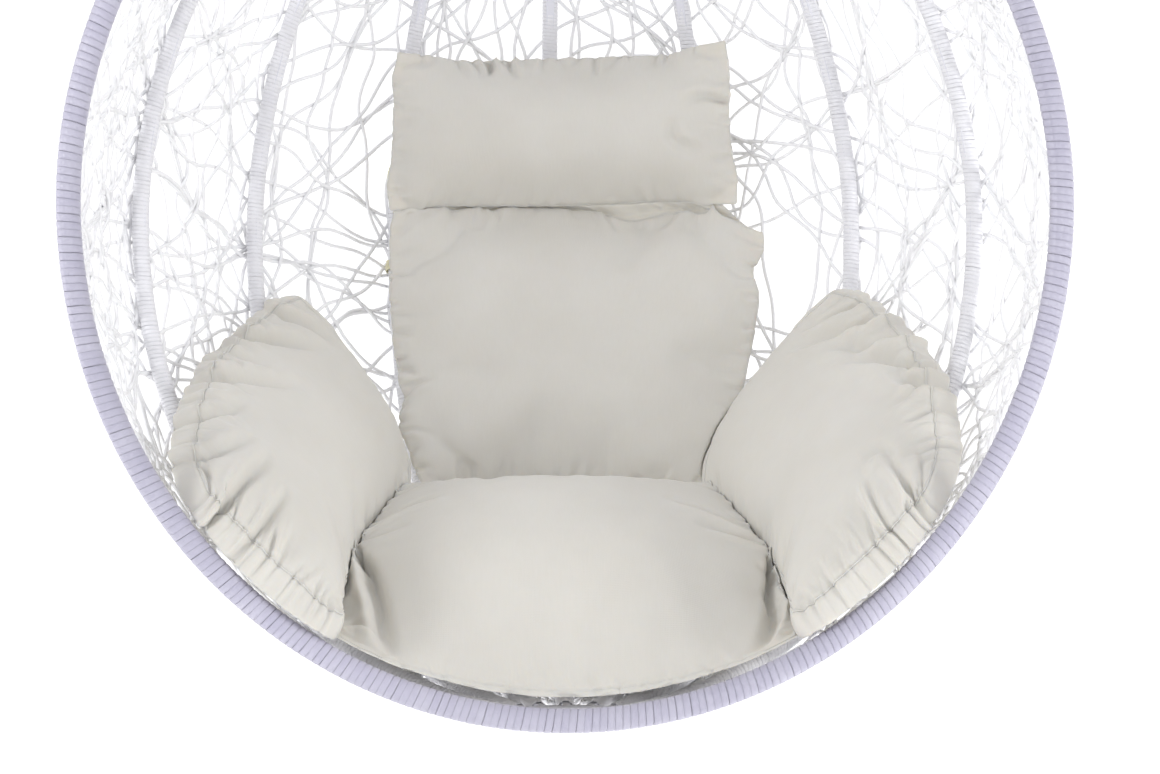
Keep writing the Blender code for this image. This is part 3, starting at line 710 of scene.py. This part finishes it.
def make_weave(look):
    """The strands, cut at the middle of each bay's two bars into one piece for each bay."""
    random = np.random.default_rng(5)
    lines = lay_strands(random)
    heights = over_and_under(lines)
    bays = [-pi / 2, *rib_azimuths(), pi / 2]
    parts = [[] for _ in bays[1:]]
    tones = [[] for _ in bays[1:]]
    for line, height in zip(lines, heights):
        tone = random.uniform()
        rings = strand_rings(line, height)
        bay = np.clip(np.searchsorted(bays, line[:, 0]) - 1, 0, len(bays) - 2)
        start = 0
        for end in range(1, len(line) + 1):
            if end < len(line) and bay[end] == bay[start]:
                continue
            part = rings[start:min(end + 1, len(line))]
            if len(part) > 1:
                parts[bay[start]].append((part.reshape(-1, 3), ring_faces(len(part), 6)))
                tones[bay[start]] += [tone] * (len(part) * 6)
            start = end
    for number, (strands, tone) in enumerate(zip(parts, tones), start=1):
        obj = new_piece(f"weave_{number}", *together(strands), look)
        store(obj, "turn_tone", tone)
        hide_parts(f"weave_panel_{number}")


# ---- cushions ---------------------------------------------------------------------------
FRAMES = 30                     # of the simulation that fills a pad
CLOTH = {"quality": 5, "mass": 0.15, "tension_stiffness": 25.0, "compression_stiffness": 25.0,
         "shear_stiffness": 10.0, "bending_stiffness": 0.05, "use_pressure": True,
         "uniform_pressure_force": 9.0, "vertex_group_shrink": "seam"}
SQUARING = 0.85                 # share of a filled pad's broad shape that is taken out
PRESS_REACH = 0.06
PRESS_GAP = 0.0022
SEAM_DEPTH = 0.0022
SEAM_RADIUS = 0.0009
WALL_STANDOFF = 0.014
FRONT_LIFT = 0.008              # of the seat's front edge off the weave
JOIN_BEHIND = 0.013             # how far behind the two seams it hangs
JOIN_ENDS = (0.035, 0.965)      # of the cushions' edges, where the strip of cloth starts and ends
JOIN_FOLDS = ((0.35, 0.012), (0.56, 0.010), (0.76, 0.014), (0.15, 0.018))  # place and width


class Patch:
    """A four-sided area: corners are front-left, front-right, back-right, back-left, and each
    bulge is how far the middle of the front, right, back and left side stands out. Rounding
    draws in the corners."""

    def __init__(self, corners, bulges=(0.0, 0.0, 0.0, 0.0), rounding=0.0):
        self.corners = np.array(corners, float)
        self.bulges = bulges
        self.rounding = rounding

    def at(self, across, along):
        """The point for across and along, each from -1 to 1."""
        across, along = (across * np.sqrt(1 - self.rounding * np.minimum(along ** 6, 1.0)),
                         along * np.sqrt(1 - self.rounding * np.minimum(across ** 6, 1.0)))
        right = (1 + across)[..., None] / 2
        back = (1 + along)[..., None] / 2
        first, second, third, fourth = self.corners
        place = (first * (1 - right) * (1 - back) + second * right * (1 - back)
                 + third * right * back + fourth * (1 - right) * back)
        front_bulge, right_bulge, back_bulge, left_bulge = self.bulges
        swell_x = (1 - along ** 2) * (right[..., 0] * right_bulge - (1 - right[..., 0]) * left_bulge)
        swell_y = (1 - across ** 2) * (back[..., 0] * back_bulge - (1 - back[..., 0]) * front_bulge)
        return place[..., 0] + swell_x, place[..., 1] + swell_y


class Pad:
    """A closed pad as cloth: a top sheet, an under sheet and a boxing strip sewn between them.

    Its points keep their places in the cut cloth: across and along from -1 to 1, and deep from
    -1 on the under sheet to 1 on the top sheet.
    """

    def __init__(self, width, length, boxing, roundness, cell):
        self.size = np.array([width / 2, length / 2])
        self.boxing = boxing
        self.columns = int(width / cell)
        self.rows = int(length / cell)
        self.strips = max(1, round(boxing / cell))
        self.index = {}
        grid = []
        for layer in range(self.strips + 1):
            for column in range(self.columns + 1):
                for row in range(self.rows + 1):
                    inner = 0 < column < self.columns and 0 < row < self.rows
                    if inner and 0 < layer < self.strips:
                        continue
                    self.index[column, row, layer] = len(grid)
                    grid.append((column, row, layer))
        grid = np.array(grid, float)
        self.across = 2 * grid[:, 0] / self.columns - 1
        self.along = 2 * grid[:, 1] / self.rows - 1
        self.deep = 2 * grid[:, 2] / self.strips - 1
        self.faces = self.sheet_faces() + self.strip_faces()
        x = self.across * np.sqrt(1 - roundness * self.along ** 2) * self.size[0]
        y = self.along * np.sqrt(1 - roundness * self.across ** 2) * self.size[1]
        inside = (1 - self.across ** 2) * (1 - self.along ** 2)
        random = np.random.default_rng(self.columns * 100 + self.rows)
        waves = sum(np.sin(x * random.uniform(-60, 60) + y * random.uniform(-60, 60)
                           + random.uniform(0, 6)) for _ in range(6))
        z = self.deep * (boxing / 2 + 0.030 * inside ** 0.7) + 0.0004 * waves * inside
        self.points = np.stack([x, y, z], -1)

    def sheet_faces(self):
        faces = []
        for column in range(self.columns):
            for row in range(self.rows):
                ring = [(column, row), (column + 1, row), (column + 1, row + 1), (column, row + 1)]
                faces.append([self.index[c, r, self.strips] for c, r in ring])
                faces.append([self.index[c, r, 0] for c, r in reversed(ring)])
        return faces

    def border(self):
        """Column and row of the points round the edge, in order, seen from the top sheet."""
        front = [(column, 0) for column in range(self.columns)]
        right = [(self.columns, row) for row in range(self.rows)]
        back = [(column, self.rows) for column in range(self.columns, 0, -1)]
        left = [(0, row) for row in range(self.rows, 0, -1)]
        return front + right + back + left

    def strip_faces(self):
        faces = []
        border = self.border()
        for here, there in zip(border, border[1:] + border[:1]):
            for layer in range(self.strips):
                faces.append([self.index[(*here, layer)], self.index[(*there, layer)],
                              self.index[(*there, layer + 1)], self.index[(*here, layer + 1)]])
        return faces

    def seam(self, layer):
        return [self.index[(*place, layer)] for place in self.border()]

    def inflate(self, gather):
        """Blow the sewn cloth up by simulation, with the seams gathered in, and centre it."""
        mesh = bpy.data.meshes.new("cloth")
        mesh.from_pydata(self.points.tolist(), [], self.faces)
        obj = bpy.data.objects.new("cloth", mesh)
        bpy.context.scene.collection.objects.link(obj)
        group = obj.vertex_groups.new(name="seam")
        seams = self.seam(0) + self.seam(self.strips)
        group.add(seams, 1.0, "REPLACE")
        stuffing = obj.modifiers.new("stuffing", "CLOTH")
        for setting, value in CLOTH.items():
            setattr(stuffing.settings, setting, value)
        stuffing.settings.shrink_max = gather
        stuffing.settings.effector_weights.gravity = 0.0
        stuffing.point_cache.frame_end = FRAMES
        scene = bpy.context.scene
        for number in range(1, FRAMES + 1):
            scene.frame_set(number)
        graph = bpy.context.evaluated_depsgraph_get()
        points = read_points(obj.evaluated_get(graph).data)
        bpy.data.objects.remove(obj)
        scene.frame_set(1)
        low, high = points.min(0), points.max(0)
        self.points = points - (low + high) / 2

    def relax(self, rounds, calm):
        """Smooth the filled faces and leave the folds along the seams, except along the calm
        side, which is -1 for the left, 1 for the right and 0 for none."""
        edges = np.array([(face[k - 1], face[k]) for face in self.faces for k in range(4)])
        reach = (1 - self.across ** 2) * (1 - self.along ** 2)
        share = np.maximum(smoothstep(reach / 0.45),
                           smoothstep((calm * self.across - 0.5) / 0.4))[:, None] * 0.7
        count = np.bincount(edges[:, 0], minlength=len(self.points))[:, None]
        for _ in range(rounds):
            total = np.zeros_like(self.points)
            np.add.at(total, edges[:, 0], self.points[edges[:, 1]])
            self.points += (total / count - self.points) * share

    def normalised(self):
        """Across, along and up, each to about 1. The blown pad's sides pull in between its corners:
        that broad shape is taken out here, and its folds and puckers stay."""
        a, b = self.across, self.along
        terms = np.stack([a ** i * b ** j for i in range(6) for j in range(6 - i)], -1)
        made = self.points / np.abs(self.points).max(0)
        for axis, wanted in ((0, a), (1, b)):
            fit = np.linalg.lstsq(terms, made[:, axis], rcond=None)[0]
            made[:, axis] += SQUARING * (wanted - terms @ fit)
        return made.T


class Fold:
    """A crease in a pad's top sheet along a line, with the cloth heaped up along one side of it.

    The line is in the cut cloth, across and along from -1 to 1. It is deepest at its start where
    that lies in a seam, and in the middle otherwise.
    """

    def __init__(self, line, depth, width, heaped=1, from_seam=True):
        self.line = rounded(np.array(line, float), 4)
        self.depth = depth
        self.width = width
        self.heaped = heaped
        self.from_seam = from_seam

    def height(self, flat, half_size):
        """How far the fold moves each point of the flat cloth, in metres."""
        line = self.line * half_size
        steps = np.linalg.norm(np.diff(line, axis=0), axis=1)
        total = steps.sum()
        nearest = np.full(len(flat), np.inf)
        beside = np.zeros(len(flat))
        share = np.zeros(len(flat))
        passed = 0.0
        for start, end, step in zip(line, line[1:], steps):
            along = (end - start) / step
            from_start = flat - start
            reach = np.clip(from_start @ along, 0.0, step)
            off = from_start - reach[:, None] * along
            distance = np.linalg.norm(off, axis=1)
            closer = distance < nearest
            nearest = np.where(closer, distance, nearest)
            side = np.sign(along[0] * off[:, 1] - along[1] * off[:, 0])
            beside = np.where(closer, side, beside)
            share = np.where(closer, (passed + reach) / total, share)
            passed += step
        strength = 1 - share ** 2 if self.from_seam else 4 * share * (1 - share)
        width = self.width * (0.8 + 0.7 * share)
        sunk = np.exp(-(nearest / width) ** 2)
        heap = np.exp(-((beside * self.heaped * nearest - 1.9 * width) / (1.3 * width)) ** 2)
        return self.depth * strength * (0.55 * heap - sunk)


def puckers(pad, spacing, reach, depth, strengths, seed):
    """Small folds that run in from the seam all round, with a strength for the front, right,
    back and left side."""
    random = np.random.default_rng(seed)
    folds = []
    sides = (((0, -1), (0, 1)), ((1, 0), (-1, 0)), ((0, 1), (0, -1)), ((-1, 0), (1, 0)))
    for (middle, inward), strength in zip(sides, strengths):
        middle = np.array(middle, float)
        inward = np.array(inward, float)
        run = np.abs(inward[::-1])
        count = int(2 * (run @ pad.size) / spacing)
        for number in range(count):
            place = -0.93 + 1.86 * (number + random.uniform(0.15, 0.85)) / count
            start = middle + run * place
            lean = random.uniform(-0.5, 0.5)
            length = reach * random.uniform(0.5, 1.5)
            end = start + (inward + run * lean) * length / pad.size
            bend = (start + end) / 2 + run * random.uniform(-0.15, 0.15) * length / pad.size
            folds.append(Fold([start, bend, end], strength * depth * random.uniform(0.4, 1.3),
                              random.uniform(0.0030, 0.0055), random.choice([-1, 1])))
    return folds


def finer(obj):
    """Round an object's mesh once by subdivision, in place; its points keep their order."""
    rounder = obj.modifiers.new("rounder", "SUBSURF")
    rounder.levels = 1
    graph = bpy.context.evaluated_depsgraph_get()
    mesh = bpy.data.meshes.new_from_object(obj.evaluated_get(graph))
    obj.modifiers.clear()
    obj.data = mesh
    mesh.shade_smooth()


def read_points(mesh, layer=None, name="co"):
    """Three numbers for each point of the mesh: its place, or what the layer holds."""
    values = np.empty(len(mesh.vertices) * 3, np.float32)
    (layer or mesh.vertices).foreach_get(name, values)
    return values.reshape(-1, 3).astype(float)


def move_points(mesh, points):
    mesh.vertices.foreach_set("co", points.astype(np.float32).ravel())
    mesh.update()


def crease(obj, pad, folds):
    """Press the folds into the pad's top sheet; they fade out over its boxing."""
    mesh = obj.data
    cloth = read_points(mesh, mesh.attributes["cloth"].data, "vector")
    points = read_points(mesh)
    normals = read_points(mesh, mesh.vertices, "normal")
    flat = cloth[:, :2]
    height = sum(fold.height(flat, pad.size) for fold in folds)
    height = height * np.clip(cloth[:, 2] + 0.5, 0.0, 1.0)
    move_points(mesh, points + normals * height[:, None])


def make_pad(name, pad, place, look, replaced, folds, relaxed, gather=0.10, calm=0):
    """Blow up a pad, lay it in its place in the basket and finish it as a piece."""
    pad.inflate(gather)
    pad.relax(relaxed, calm)
    across, along, up = pad.normalised()
    points = place(across, along, up)
    obj = new_piece(name, points, pad.faces, look)
    rest = np.stack([pad.across * pad.size[0], pad.along * pad.size[1], pad.deep * 0.5], -1)
    store(obj, "cloth", rest)
    finer(obj)
    crease(obj, pad, folds)
    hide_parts(replaced)
    pad.piece = obj
    return pad


def press(moving, still, gap):
    """Push a pad's cloth out of another pad, and draw the cloth round there along with it."""
    mesh = moving.piece.data
    points = read_points(mesh)
    other = still.piece.data
    tree = BVHTree.FromPolygons([v.co for v in other.vertices],
                                [list(face.vertices) for face in other.polygons])
    push = np.zeros_like(points)
    held = np.zeros(len(points), bool)
    for index, point in enumerate(points):
        found, normal, _, distance = tree.find_nearest(Vector(point), PRESS_REACH)
        if found is None:
            continue
        above = (Vector(point) - found) @ normal
        if above < gap:
            held[index] = True
            push[index] = found + normal * gap - Vector(point)
    if not held.any():
        return
    edges = np.array([edge.vertices for edge in mesh.edges])
    edges = np.concatenate([edges, edges[:, ::-1]])
    count = np.bincount(edges[:, 0], minlength=len(points))[:, None]
    field = push.copy()
    for _ in range(24):
        total = np.zeros_like(points)
        np.add.at(total, edges[:, 0], field[edges[:, 1]])
        field = np.where(held[:, None], push, 0.97 * total / count)
    move_points(mesh, points + field)


def finer_ring(mesh, ring):
    """A ring of points with the ones that rounding the mesh put between them."""
    around = [set() for _ in mesh.vertices]
    for edge in mesh.edges:
        first, second = edge.vertices
        around[first].add(second)
        around[second].add(first)
    whole = []
    for here, there in zip(ring, ring[1:] + ring[:1]):
        whole += [here, min(around[here] & around[there])]
    return whole


def sew_pad(pad, look):
    """Sink a boxed pad's two seams and run a rolled edge along each, or one along a plain seam."""
    mesh = pad.piece.data
    name = pad.piece.name
    points = read_points(mesh)
    normals = read_points(mesh, mesh.vertices, "normal")
    layers = [finer_ring(mesh, pad.seam(layer)) for layer in (0, pad.strips)]
    if pad.strips > 1:
        for ring in layers:
            points[ring] -= normals[ring] * SEAM_DEPTH
        move_points(mesh, points)
        seams = [points[ring] + normals[ring] * SEAM_RADIUS for ring in layers]
    else:
        outward = unit(sum(normals[ring] for ring in layers))
        seams = [sum(points[ring] for ring in layers) / 2 + outward * SEAM_RADIUS * 0.5]
    for number, line in enumerate(seams):
        sew(f"{name}_seam_{number}", line, look)
    pad.seam_line = seams[0]


def sew(name, line, look):
    """The rolled edge of a seam, as a fine cord that follows the finished cloth."""
    points, faces = round_rod(rounded(line, 2, closed=True), SEAM_RADIUS, 6, closed=True)
    edge = new_piece(name, points, faces, look, local=False)
    store(edge, "cloth", points)


def fuller(up, power):
    """The same height pushed out towards the pad's faces, so that its edges are boxier."""
    return np.sign(up) * np.abs(up) ** power


def on_wall(patch, thickness, seam_shares=(0.35, 0.35), power=1.0, tip=0.0):
    """Lay a pad on the basket's wall: its back flattens on the wall and its face is crowned.

    The seam's height is a share of the thickness, at the pad's left and at its right. The tip
    is how much of the thickness goes towards the back left corner.
    """
    def place(across, along, up):
        azimuth, level = patch.at(across, along)
        up = fuller(up, power)
        seam = mix(*seam_shares, np.clip((1 + across) / 2, 0.0, 1.0))
        under = seam * (1 + up)
        over = seam + (1 - seam) * up
        corner = smoothstep(((along - across) / 2 - 0.25) / 0.75)
        offset = WALL_STANDOFF + thickness * (1 - tip * corner) * np.where(up < 0, under, over)
        surface = basket_points(azimuth, level)
        return surface + basket_normals(azimuth, level) * offset[..., None]
    return place


def floor_height(x, y):
    """Height of the basket's lower half under points of the plan."""
    low = np.full(x.shape, -pi / 2)
    high = np.zeros(x.shape)
    for _ in range(30):
        level = (low + high) / 2
        side = basket_points(pi / 2, level)[..., 0]
        back = basket_points(0.0, level)[..., 1]
        inside = (x / side) ** 2 + (y / back) ** 2 < 1.0
        low = np.where(inside, low, level)
        high = np.where(inside, level, high)
    return MOUTH_DROP * np.sin(low)


def on_floor(patch, top_front, top_back, droop, power, low_front):
    """Lay a pad on the basket's floor, under a top that rises from front to back and droops
    at its corners. The power low_front brings the seams down at its front."""
    def place(across, along, up):
        x, y = patch.at(across, along)
        back = np.clip((along + 1) / 2, 0.0, 1.0)
        share = (fuller(up, power) + 1) / 2
        share = np.maximum(share, 0.0) ** mix(low_front, 1.0, smoothstep(back * 2.2))
        top = mix(top_front, top_back, back) - mix(*droop, back) * across ** 2
        under = floor_height(x, y) + WALL_STANDOFF + FRONT_LIFT * (1 - back)
        return np.stack([x, y, mix(under, top, share)], -1)
    return place


def degrees_patch(corners, bulges=(0.0, 0.0, 0.0, 0.0), rounding=0.0):
    return Patch(np.radians(corners), np.radians(bulges), rounding)


def mirrored(place):
    def other(across, along, up):
        return place(-across, along, up) * np.array([-1.0, 1.0, 1.0])
    return other


def make_cushions(look):
    seat = Patch([(-0.250, 0.022), (0.250, 0.022), (0.182, 0.366), (-0.182, 0.366)],
                 (0.0, 0.020, 0.0, 0.020), 0.06)
    pad = Pad(0.52, 0.40, 0.075, 0.08, 0.007)
    folds = puckers(pad, 0.026, 0.035, 0.0034, (0.6, 0.8, 0.3, 0.8), 11)
    folds += [
        Fold([(-0.98, 0.00), (-0.82, -0.40), (-0.74, -0.92)], 0.027, 0.0070, -1),
        Fold([(-0.98, -0.70), (-0.88, -0.64), (-0.77, -0.72)], 0.010, 0.005, -1),
        Fold([(0.98, -0.12), (0.91, -0.50), (0.80, -0.95)], 0.025, 0.0070, 1),
        Fold([(1.0, 0.12), (0.78, 0.26), (0.52, 0.36)], 0.011, 0.007),
        Fold([(1.0, 0.00), (0.80, 0.05), (0.62, 0.04)], 0.010, 0.006),
        Fold([(-1.0, 0.25), (-0.8, 0.38), (-0.58, 0.45)], 0.009, 0.006, -1),
        Fold([(-1.0, 0.08), (-0.85, 0.10), (-0.7, 0.12)], 0.007, 0.006, -1),
    ]
    seat_pad = make_pad("seat", pad, on_floor(seat, -0.400, -0.245, (0.040, 0.016), 0.62, 9.0), look,
                        "seat_cushion", folds, relaxed=8)

    back = degrees_patch([(-27.6, -39.5), (31.6, -39.5), (35.6, 1.8), (-26.8, 3.8)],
                         (0.0, -0.7, 0.2, -0.5), 0.16)
    pad = Pad(0.42, 0.40, 0.008, 0.04, 0.007)
    folds = puckers(pad, 0.026, 0.026, 0.0040, (0.7, 0.8, 0.5, 1.0), 12)
    back_pad = make_pad("back", pad, on_wall(back, 0.112), look, "back_cushion", folds,
                        relaxed=10, gather=0.14, calm=1)

    head = degrees_patch([(-26.3, 2.5), (29.6, 3.6), (32.2, 24.7), (-28.6, 23.2)],
                         (-0.4, 0.0, -0.8, 0.0), 0.01)
    pad = Pad(0.42, 0.24, 0.006, 0.03, 0.007)
    folds = puckers(pad, 0.024, 0.026, 0.0034, (0.5, 0.7, 1.2, 0.7), 13)
    folds += [
        Fold([(0.98, 0.28), (0.86, 0.34), (0.76, 0.24)], 0.010, 0.006, -1),
        Fold([(0.72, 0.10), (0.70, -0.20), (0.86, -0.42)], 0.006, 0.007, 1, False),
        Fold([(-0.42, 1.0), (-0.44, 0.85), (-0.47, 0.74)], 0.009, 0.0045),
        Fold([(-0.30, 1.0), (-0.31, 0.85), (-0.27, 0.70)], 0.008, 0.0045),
    ]
    head_pad = make_pad("head", pad, on_wall(head, 0.105, (0.4, 0.4)), look, "head_pillow",
                        folds, relaxed=10, gather=0.12)

    arm = degrees_patch([(28.5, -39.5), (91.0, -61.0), (87.0, -35.5), (45.0, -7.4)],
                        (4.0, 3.0, 3.5, 4.5), 0.04)
    pad = Pad(0.40, 0.30, 0.045, 0.05, 0.007)
    folds = puckers(pad, 0.021, 0.038, 0.0044, (0.3, 0.9, 1.0, 0.1), 14)
    folds += [
        Fold([(-0.70, 1.0), (-0.80, 0.80), (-0.92, 0.62)], 0.013, 0.006),
        Fold([(-0.48, 1.0), (-0.62, 0.72), (-0.84, 0.46)], 0.016, 0.007),
        Fold([(-0.20, 1.0), (-0.36, 0.78), (-0.62, 0.60)], 0.015, 0.007),
        Fold([(0.12, 1.0), (-0.12, 0.80), (-0.40, 0.60)], 0.020, 0.008),
        Fold([(0.32, 1.0), (0.12, 0.86), (-0.08, 0.78)], 0.015, 0.007),
        Fold([(1.0, 0.70), (0.80, 0.62), (0.60, 0.50)], 0.011, 0.006),
        Fold([(0.72, 0.64), (0.60, 0.52), (0.56, 0.30)], 0.007, 0.007, 1, False),
        Fold([(1.0, 0.30), (0.84, 0.28), (0.70, 0.32)], 0.010, 0.005),
    ]
    place = on_wall(arm, 0.105, (0.35, 0.04), 0.8, 0.45)
    right_pad = make_pad("arm_right", pad, place, look, "arm_cushion_right", folds,
                         relaxed=6, gather=0.11, calm=-1)

    arm = degrees_patch([(28.5, -39.5), (91.0, -61.0), (87.0, -35.5), (40.5, -8.2)],
                        (4.0, 3.0, 2.0, 4.5), 0.04)
    pad = Pad(0.40, 0.30, 0.045, 0.05, 0.007)
    folds = puckers(pad, 0.021, 0.038, 0.0044, (0.3, 0.1, 1.0, 0.9), 15)
    folds += [
        Fold([(0.75, 1.0), (0.86, 0.74), (0.95, 0.50)], 0.011, 0.006),
        Fold([(0.42, 1.0), (0.58, 0.76), (0.80, 0.52)], 0.014, 0.006),
        Fold([(-0.10, 1.0), (0.08, 0.70), (0.34, 0.40)], 0.015, 0.007),
        Fold([(-0.50, 1.0), (-0.34, 0.82), (-0.14, 0.66)], 0.011, 0.006),
        Fold([(-0.85, 1.0), (-0.68, 0.76), (-0.46, 0.52)], 0.012, 0.006),
        Fold([(-1.0, 0.62), (-0.78, 0.50), (-0.50, 0.32)], 0.015, 0.007),
        Fold([(-1.0, 0.20), (-0.80, 0.12), (-0.60, 0.06)], 0.010, 0.006),
    ]
    place = mirrored(on_wall(arm, 0.105, (0.35, 0.04), 0.8, 0.45))
    left_pad = make_pad("arm_left", pad, place, look, "arm_cushion_left", folds,
                        relaxed=6, gather=0.11, calm=1)

    for _ in range(3):
        press(back_pad, seat_pad, PRESS_GAP)
        press(back_pad, head_pad, PRESS_GAP)
        for arm_pad in (right_pad, left_pad):
            press(back_pad, arm_pad, PRESS_GAP)
            press(seat_pad, arm_pad, PRESS_GAP)
    for each in (seat_pad, back_pad, head_pad, right_pad, left_pad):
        sew_pad(each, look)
    join(head_pad, back_pad, look)


def join(head_pad, back_pad, look):
    """The strip of cloth sewn to the head pillow's lower seam and to the back cushion's top."""
    columns, rows = 120, 6
    head_edge = head_pad.seam_line[:2 * head_pad.columns + 1]
    first = 2 * (back_pad.columns + back_pad.rows)
    back_edge = back_pad.seam_line[first:first + 2 * back_pad.columns + 1][::-1]
    share = np.linspace(*JOIN_ENDS, columns)
    edges = []
    for edge in (head_edge, back_edge):
        edges.append(on_line(share, np.linspace(0.0, 1.0, len(edge)), edge))
    down = np.linspace(0.0, 1.0, rows)[None, :, None]
    front = mix(edges[0][:, None], edges[1][:, None], down)
    outward = np.array(BASKET.to_3x3() @ Vector((0.0, -1.0, 0.0)))
    front = front - outward * JOIN_BEHIND * np.sin(pi * down ** 1.6)
    folds = sum(np.exp(-((share - place) / width) ** 2) for place, width in JOIN_FOLDS)
    ripple = 0.3 * np.sin(share * 71.0) + 0.2 * np.sin(share * 123.0 + 1.0)
    swell = 0.004 * (folds + ripple)[:, None, None] * np.sin(pi * down)
    front = front + outward * (swell - 0.001)
    rear = front - outward * 0.0012
    points, faces = closed_sheet(front, rear)
    obj = new_piece("head_strip", points, faces, look, local=False)
    store(obj, "cloth", points)


def closed_sheet(front, rear):
    """Two grids of points, a cloth's thickness apart, closed round their edges."""
    columns, rows = front.shape[:2]
    index = np.arange(columns * rows).reshape(columns, rows)
    other = index + columns * rows
    faces = []
    for c in range(columns - 1):
        for r in range(rows - 1):
            faces.append([index[c, r], index[c + 1, r], index[c + 1, r + 1], index[c, r + 1]])
            faces.append([other[c, r], other[c, r + 1], other[c + 1, r + 1], other[c + 1, r]])
    border = ([(c, 0) for c in range(columns - 1)] + [(columns - 1, r) for r in range(rows - 1)]
              + [(c, rows - 1) for c in range(columns - 1, 0, -1)]
              + [(0, r) for r in range(rows - 1, 0, -1)])
    for here, there in zip(border, border[1:] + border[:1]):
        faces.append([index[there], index[here], other[here], other[there]])
    points = np.concatenate([front.reshape(-1, 3), rear.reshape(-1, 3)])
    return points, [[int(k) for k in face] for face in faces]


# ---- ties -------------------------------------------------------------------------------
TAPE_WIDTH = 0.009
TAPE_THICKNESS = 0.0009


def make_tie(name, node, look, seed):
    """A tape wound twice round a rib and knotted on the cushion's side, with two tails."""
    random = np.random.default_rng(seed)
    low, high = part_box(node)
    centre = BASKET.inverted() @ ((low + high) / 2)
    azimuth = atan2(centre.x / MOUTH_HALF_WIDTH, centre.y / BASKET_DEPTH)
    along = (basket_points(azimuth, centre.z / MOUTH_RISE + 0.01)
             - basket_points(azimuth, centre.z / MOUTH_RISE - 0.01))
    along = unit(along)
    inward = squared(-np.array(centre.xy.to_3d()), along)
    side = np.cross(along, inward)
    middle = np.array(centre)
    radius = RIB_BAR + STRIP_THICKNESS + 0.0009
    parts = []
    turn = np.linspace(0.0, 4 * pi, 57)
    reach = (radius + TAPE_THICKNESS * 1.1 * turn / (2 * pi))[:, None]
    loop = (middle + reach * (np.cos(turn)[:, None] * inward + np.sin(turn)[:, None] * side)
            + along * (0.003 * np.sin(turn * 0.5) - 0.001)[:, None])
    parts.append(ribbon(loop, along, TAPE_WIDTH, TAPE_THICKNESS))
    knot = middle + inward * (radius + 0.0045)
    turn = np.linspace(0.0, 2 * pi, 21)
    bead = (knot + 0.0030 * (np.cos(turn)[:, None] * inward + np.sin(turn)[:, None] * along)
            + side * (turn * 0.0002)[:, None])
    parts.append(ribbon(bead, side, TAPE_WIDTH * 0.75, TAPE_THICKNESS * 2))
    for lean in (-1.0, 1.0):
        length = random.uniform(0.014, 0.022)
        share = np.linspace(0.0, 1.0, 12)[:, None]
        drop = np.array([0.0, 0.0, -1.0])
        tail = (knot + inward * (0.004 + 0.008 * share * (1 - share))
                + side * lean * (0.002 + 0.010 * share) + drop * length * share ** 1.3)
        tail = tail + inward * 0.0015 * np.sin(share * 9.0 + lean)
        parts.append(ribbon(tail, side + 0.3 * lean * inward, TAPE_WIDTH * 0.8, TAPE_THICKNESS))
    points, faces = together(parts)
    obj = new_piece(name, points, faces, look)
    store(obj, "cloth", points)
    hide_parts(node)


def make_ties(look):
    for seed, position in enumerate(("upper_left", "lower_left", "upper_right", "lower_right")):
        make_tie(f"tie_{position}", f"cushion_tie_{position}", look, 40 + seed)


# ---- spring -----------------------------------------------------------------------------
COIL_WIRE = 0.0030
COIL_TURNS = 13
COIL_TAPER = 1.25               # turns over which each end draws in
COIL_RADII = (0.0095, 0.0175)
COIL_STEPS = 28


def make_coil(look):
    """The spring's coil, drawn between the upper and the lower eye."""
    low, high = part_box("spring_coil")
    top = high.z - COIL_WIRE
    foot = low.z + COIL_WIRE
    turn = np.linspace(0.0, COIL_TURNS, COIL_TURNS * COIL_STEPS + 1)
    share = np.clip(np.minimum(turn, COIL_TURNS - turn) / COIL_TAPER, 0.0, 1.0)
    radius = mix(*COIL_RADII, smoothstep(share))
    angle = 2 * pi * turn
    height = mix(top, foot, turn / COIL_TURNS)
    line = np.stack([radius * np.cos(angle), radius * np.sin(angle), height], -1)
    points, faces = round_rod(line, COIL_WIRE, 12)
    coil = new_piece("coil", points, faces, look, body=None, local=False)
    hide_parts("spring_coil")
    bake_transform(coil)


# ---- carried-over nodes -----------------------------------------------------------------
def dress(names, look):
    for name in names:
        node = NODES[name]
        node.data.materials.clear()
        node.data.materials.append(look)


def build():
    make_camera()
    make_stage()
    # The rim's strip is the same white wicker as the ribs' strip, but its colour is a dimmer lavender:
    # painted shade on the rim.
    strip = wicker_look("wicker_rim_painted_shade", (0.54, 0.525, 0.63), (0.46, 0.445, 0.56))
    rib_strip = wicker_look("wicker_rib_strip", (0.93, 0.925, 0.96), (0.88, 0.875, 0.925))
    strand = wicker_look("wicker_strand", (0.93, 0.93, 0.94), (0.87, 0.87, 0.885), 0.4)
    wind_rim(strip)
    wind_ribs(rib_strip)
    make_weave(strand)
    make_cushions(fabric_look("cream_cloth", (0.675, 0.657, 0.612), (0.615, 0.593, 0.54)))
    make_ties(fabric_look("tie_tape", (0.78, 0.72, 0.48), (0.66, 0.60, 0.38)))
    tubes = ["rim_tube", "crown_hub", "foot_hub", *(f"rib_tube_{n + 1}" for n in range(RIB_COUNT))]
    dress(tubes, powder_coat_look())
    zinc = zinc_look()
    steel = ["hanging_eye", "top_hook", "top_hook_gate", "top_hook_gate_pin", "spring_upper_eye",
             "spring_lower_eye", "swivel_bow", "swivel_hook", "swivel_hook_gate",
             "swivel_hook_gate_pin"]
    dress(steel, zinc)
    make_coil(zinc)


build()
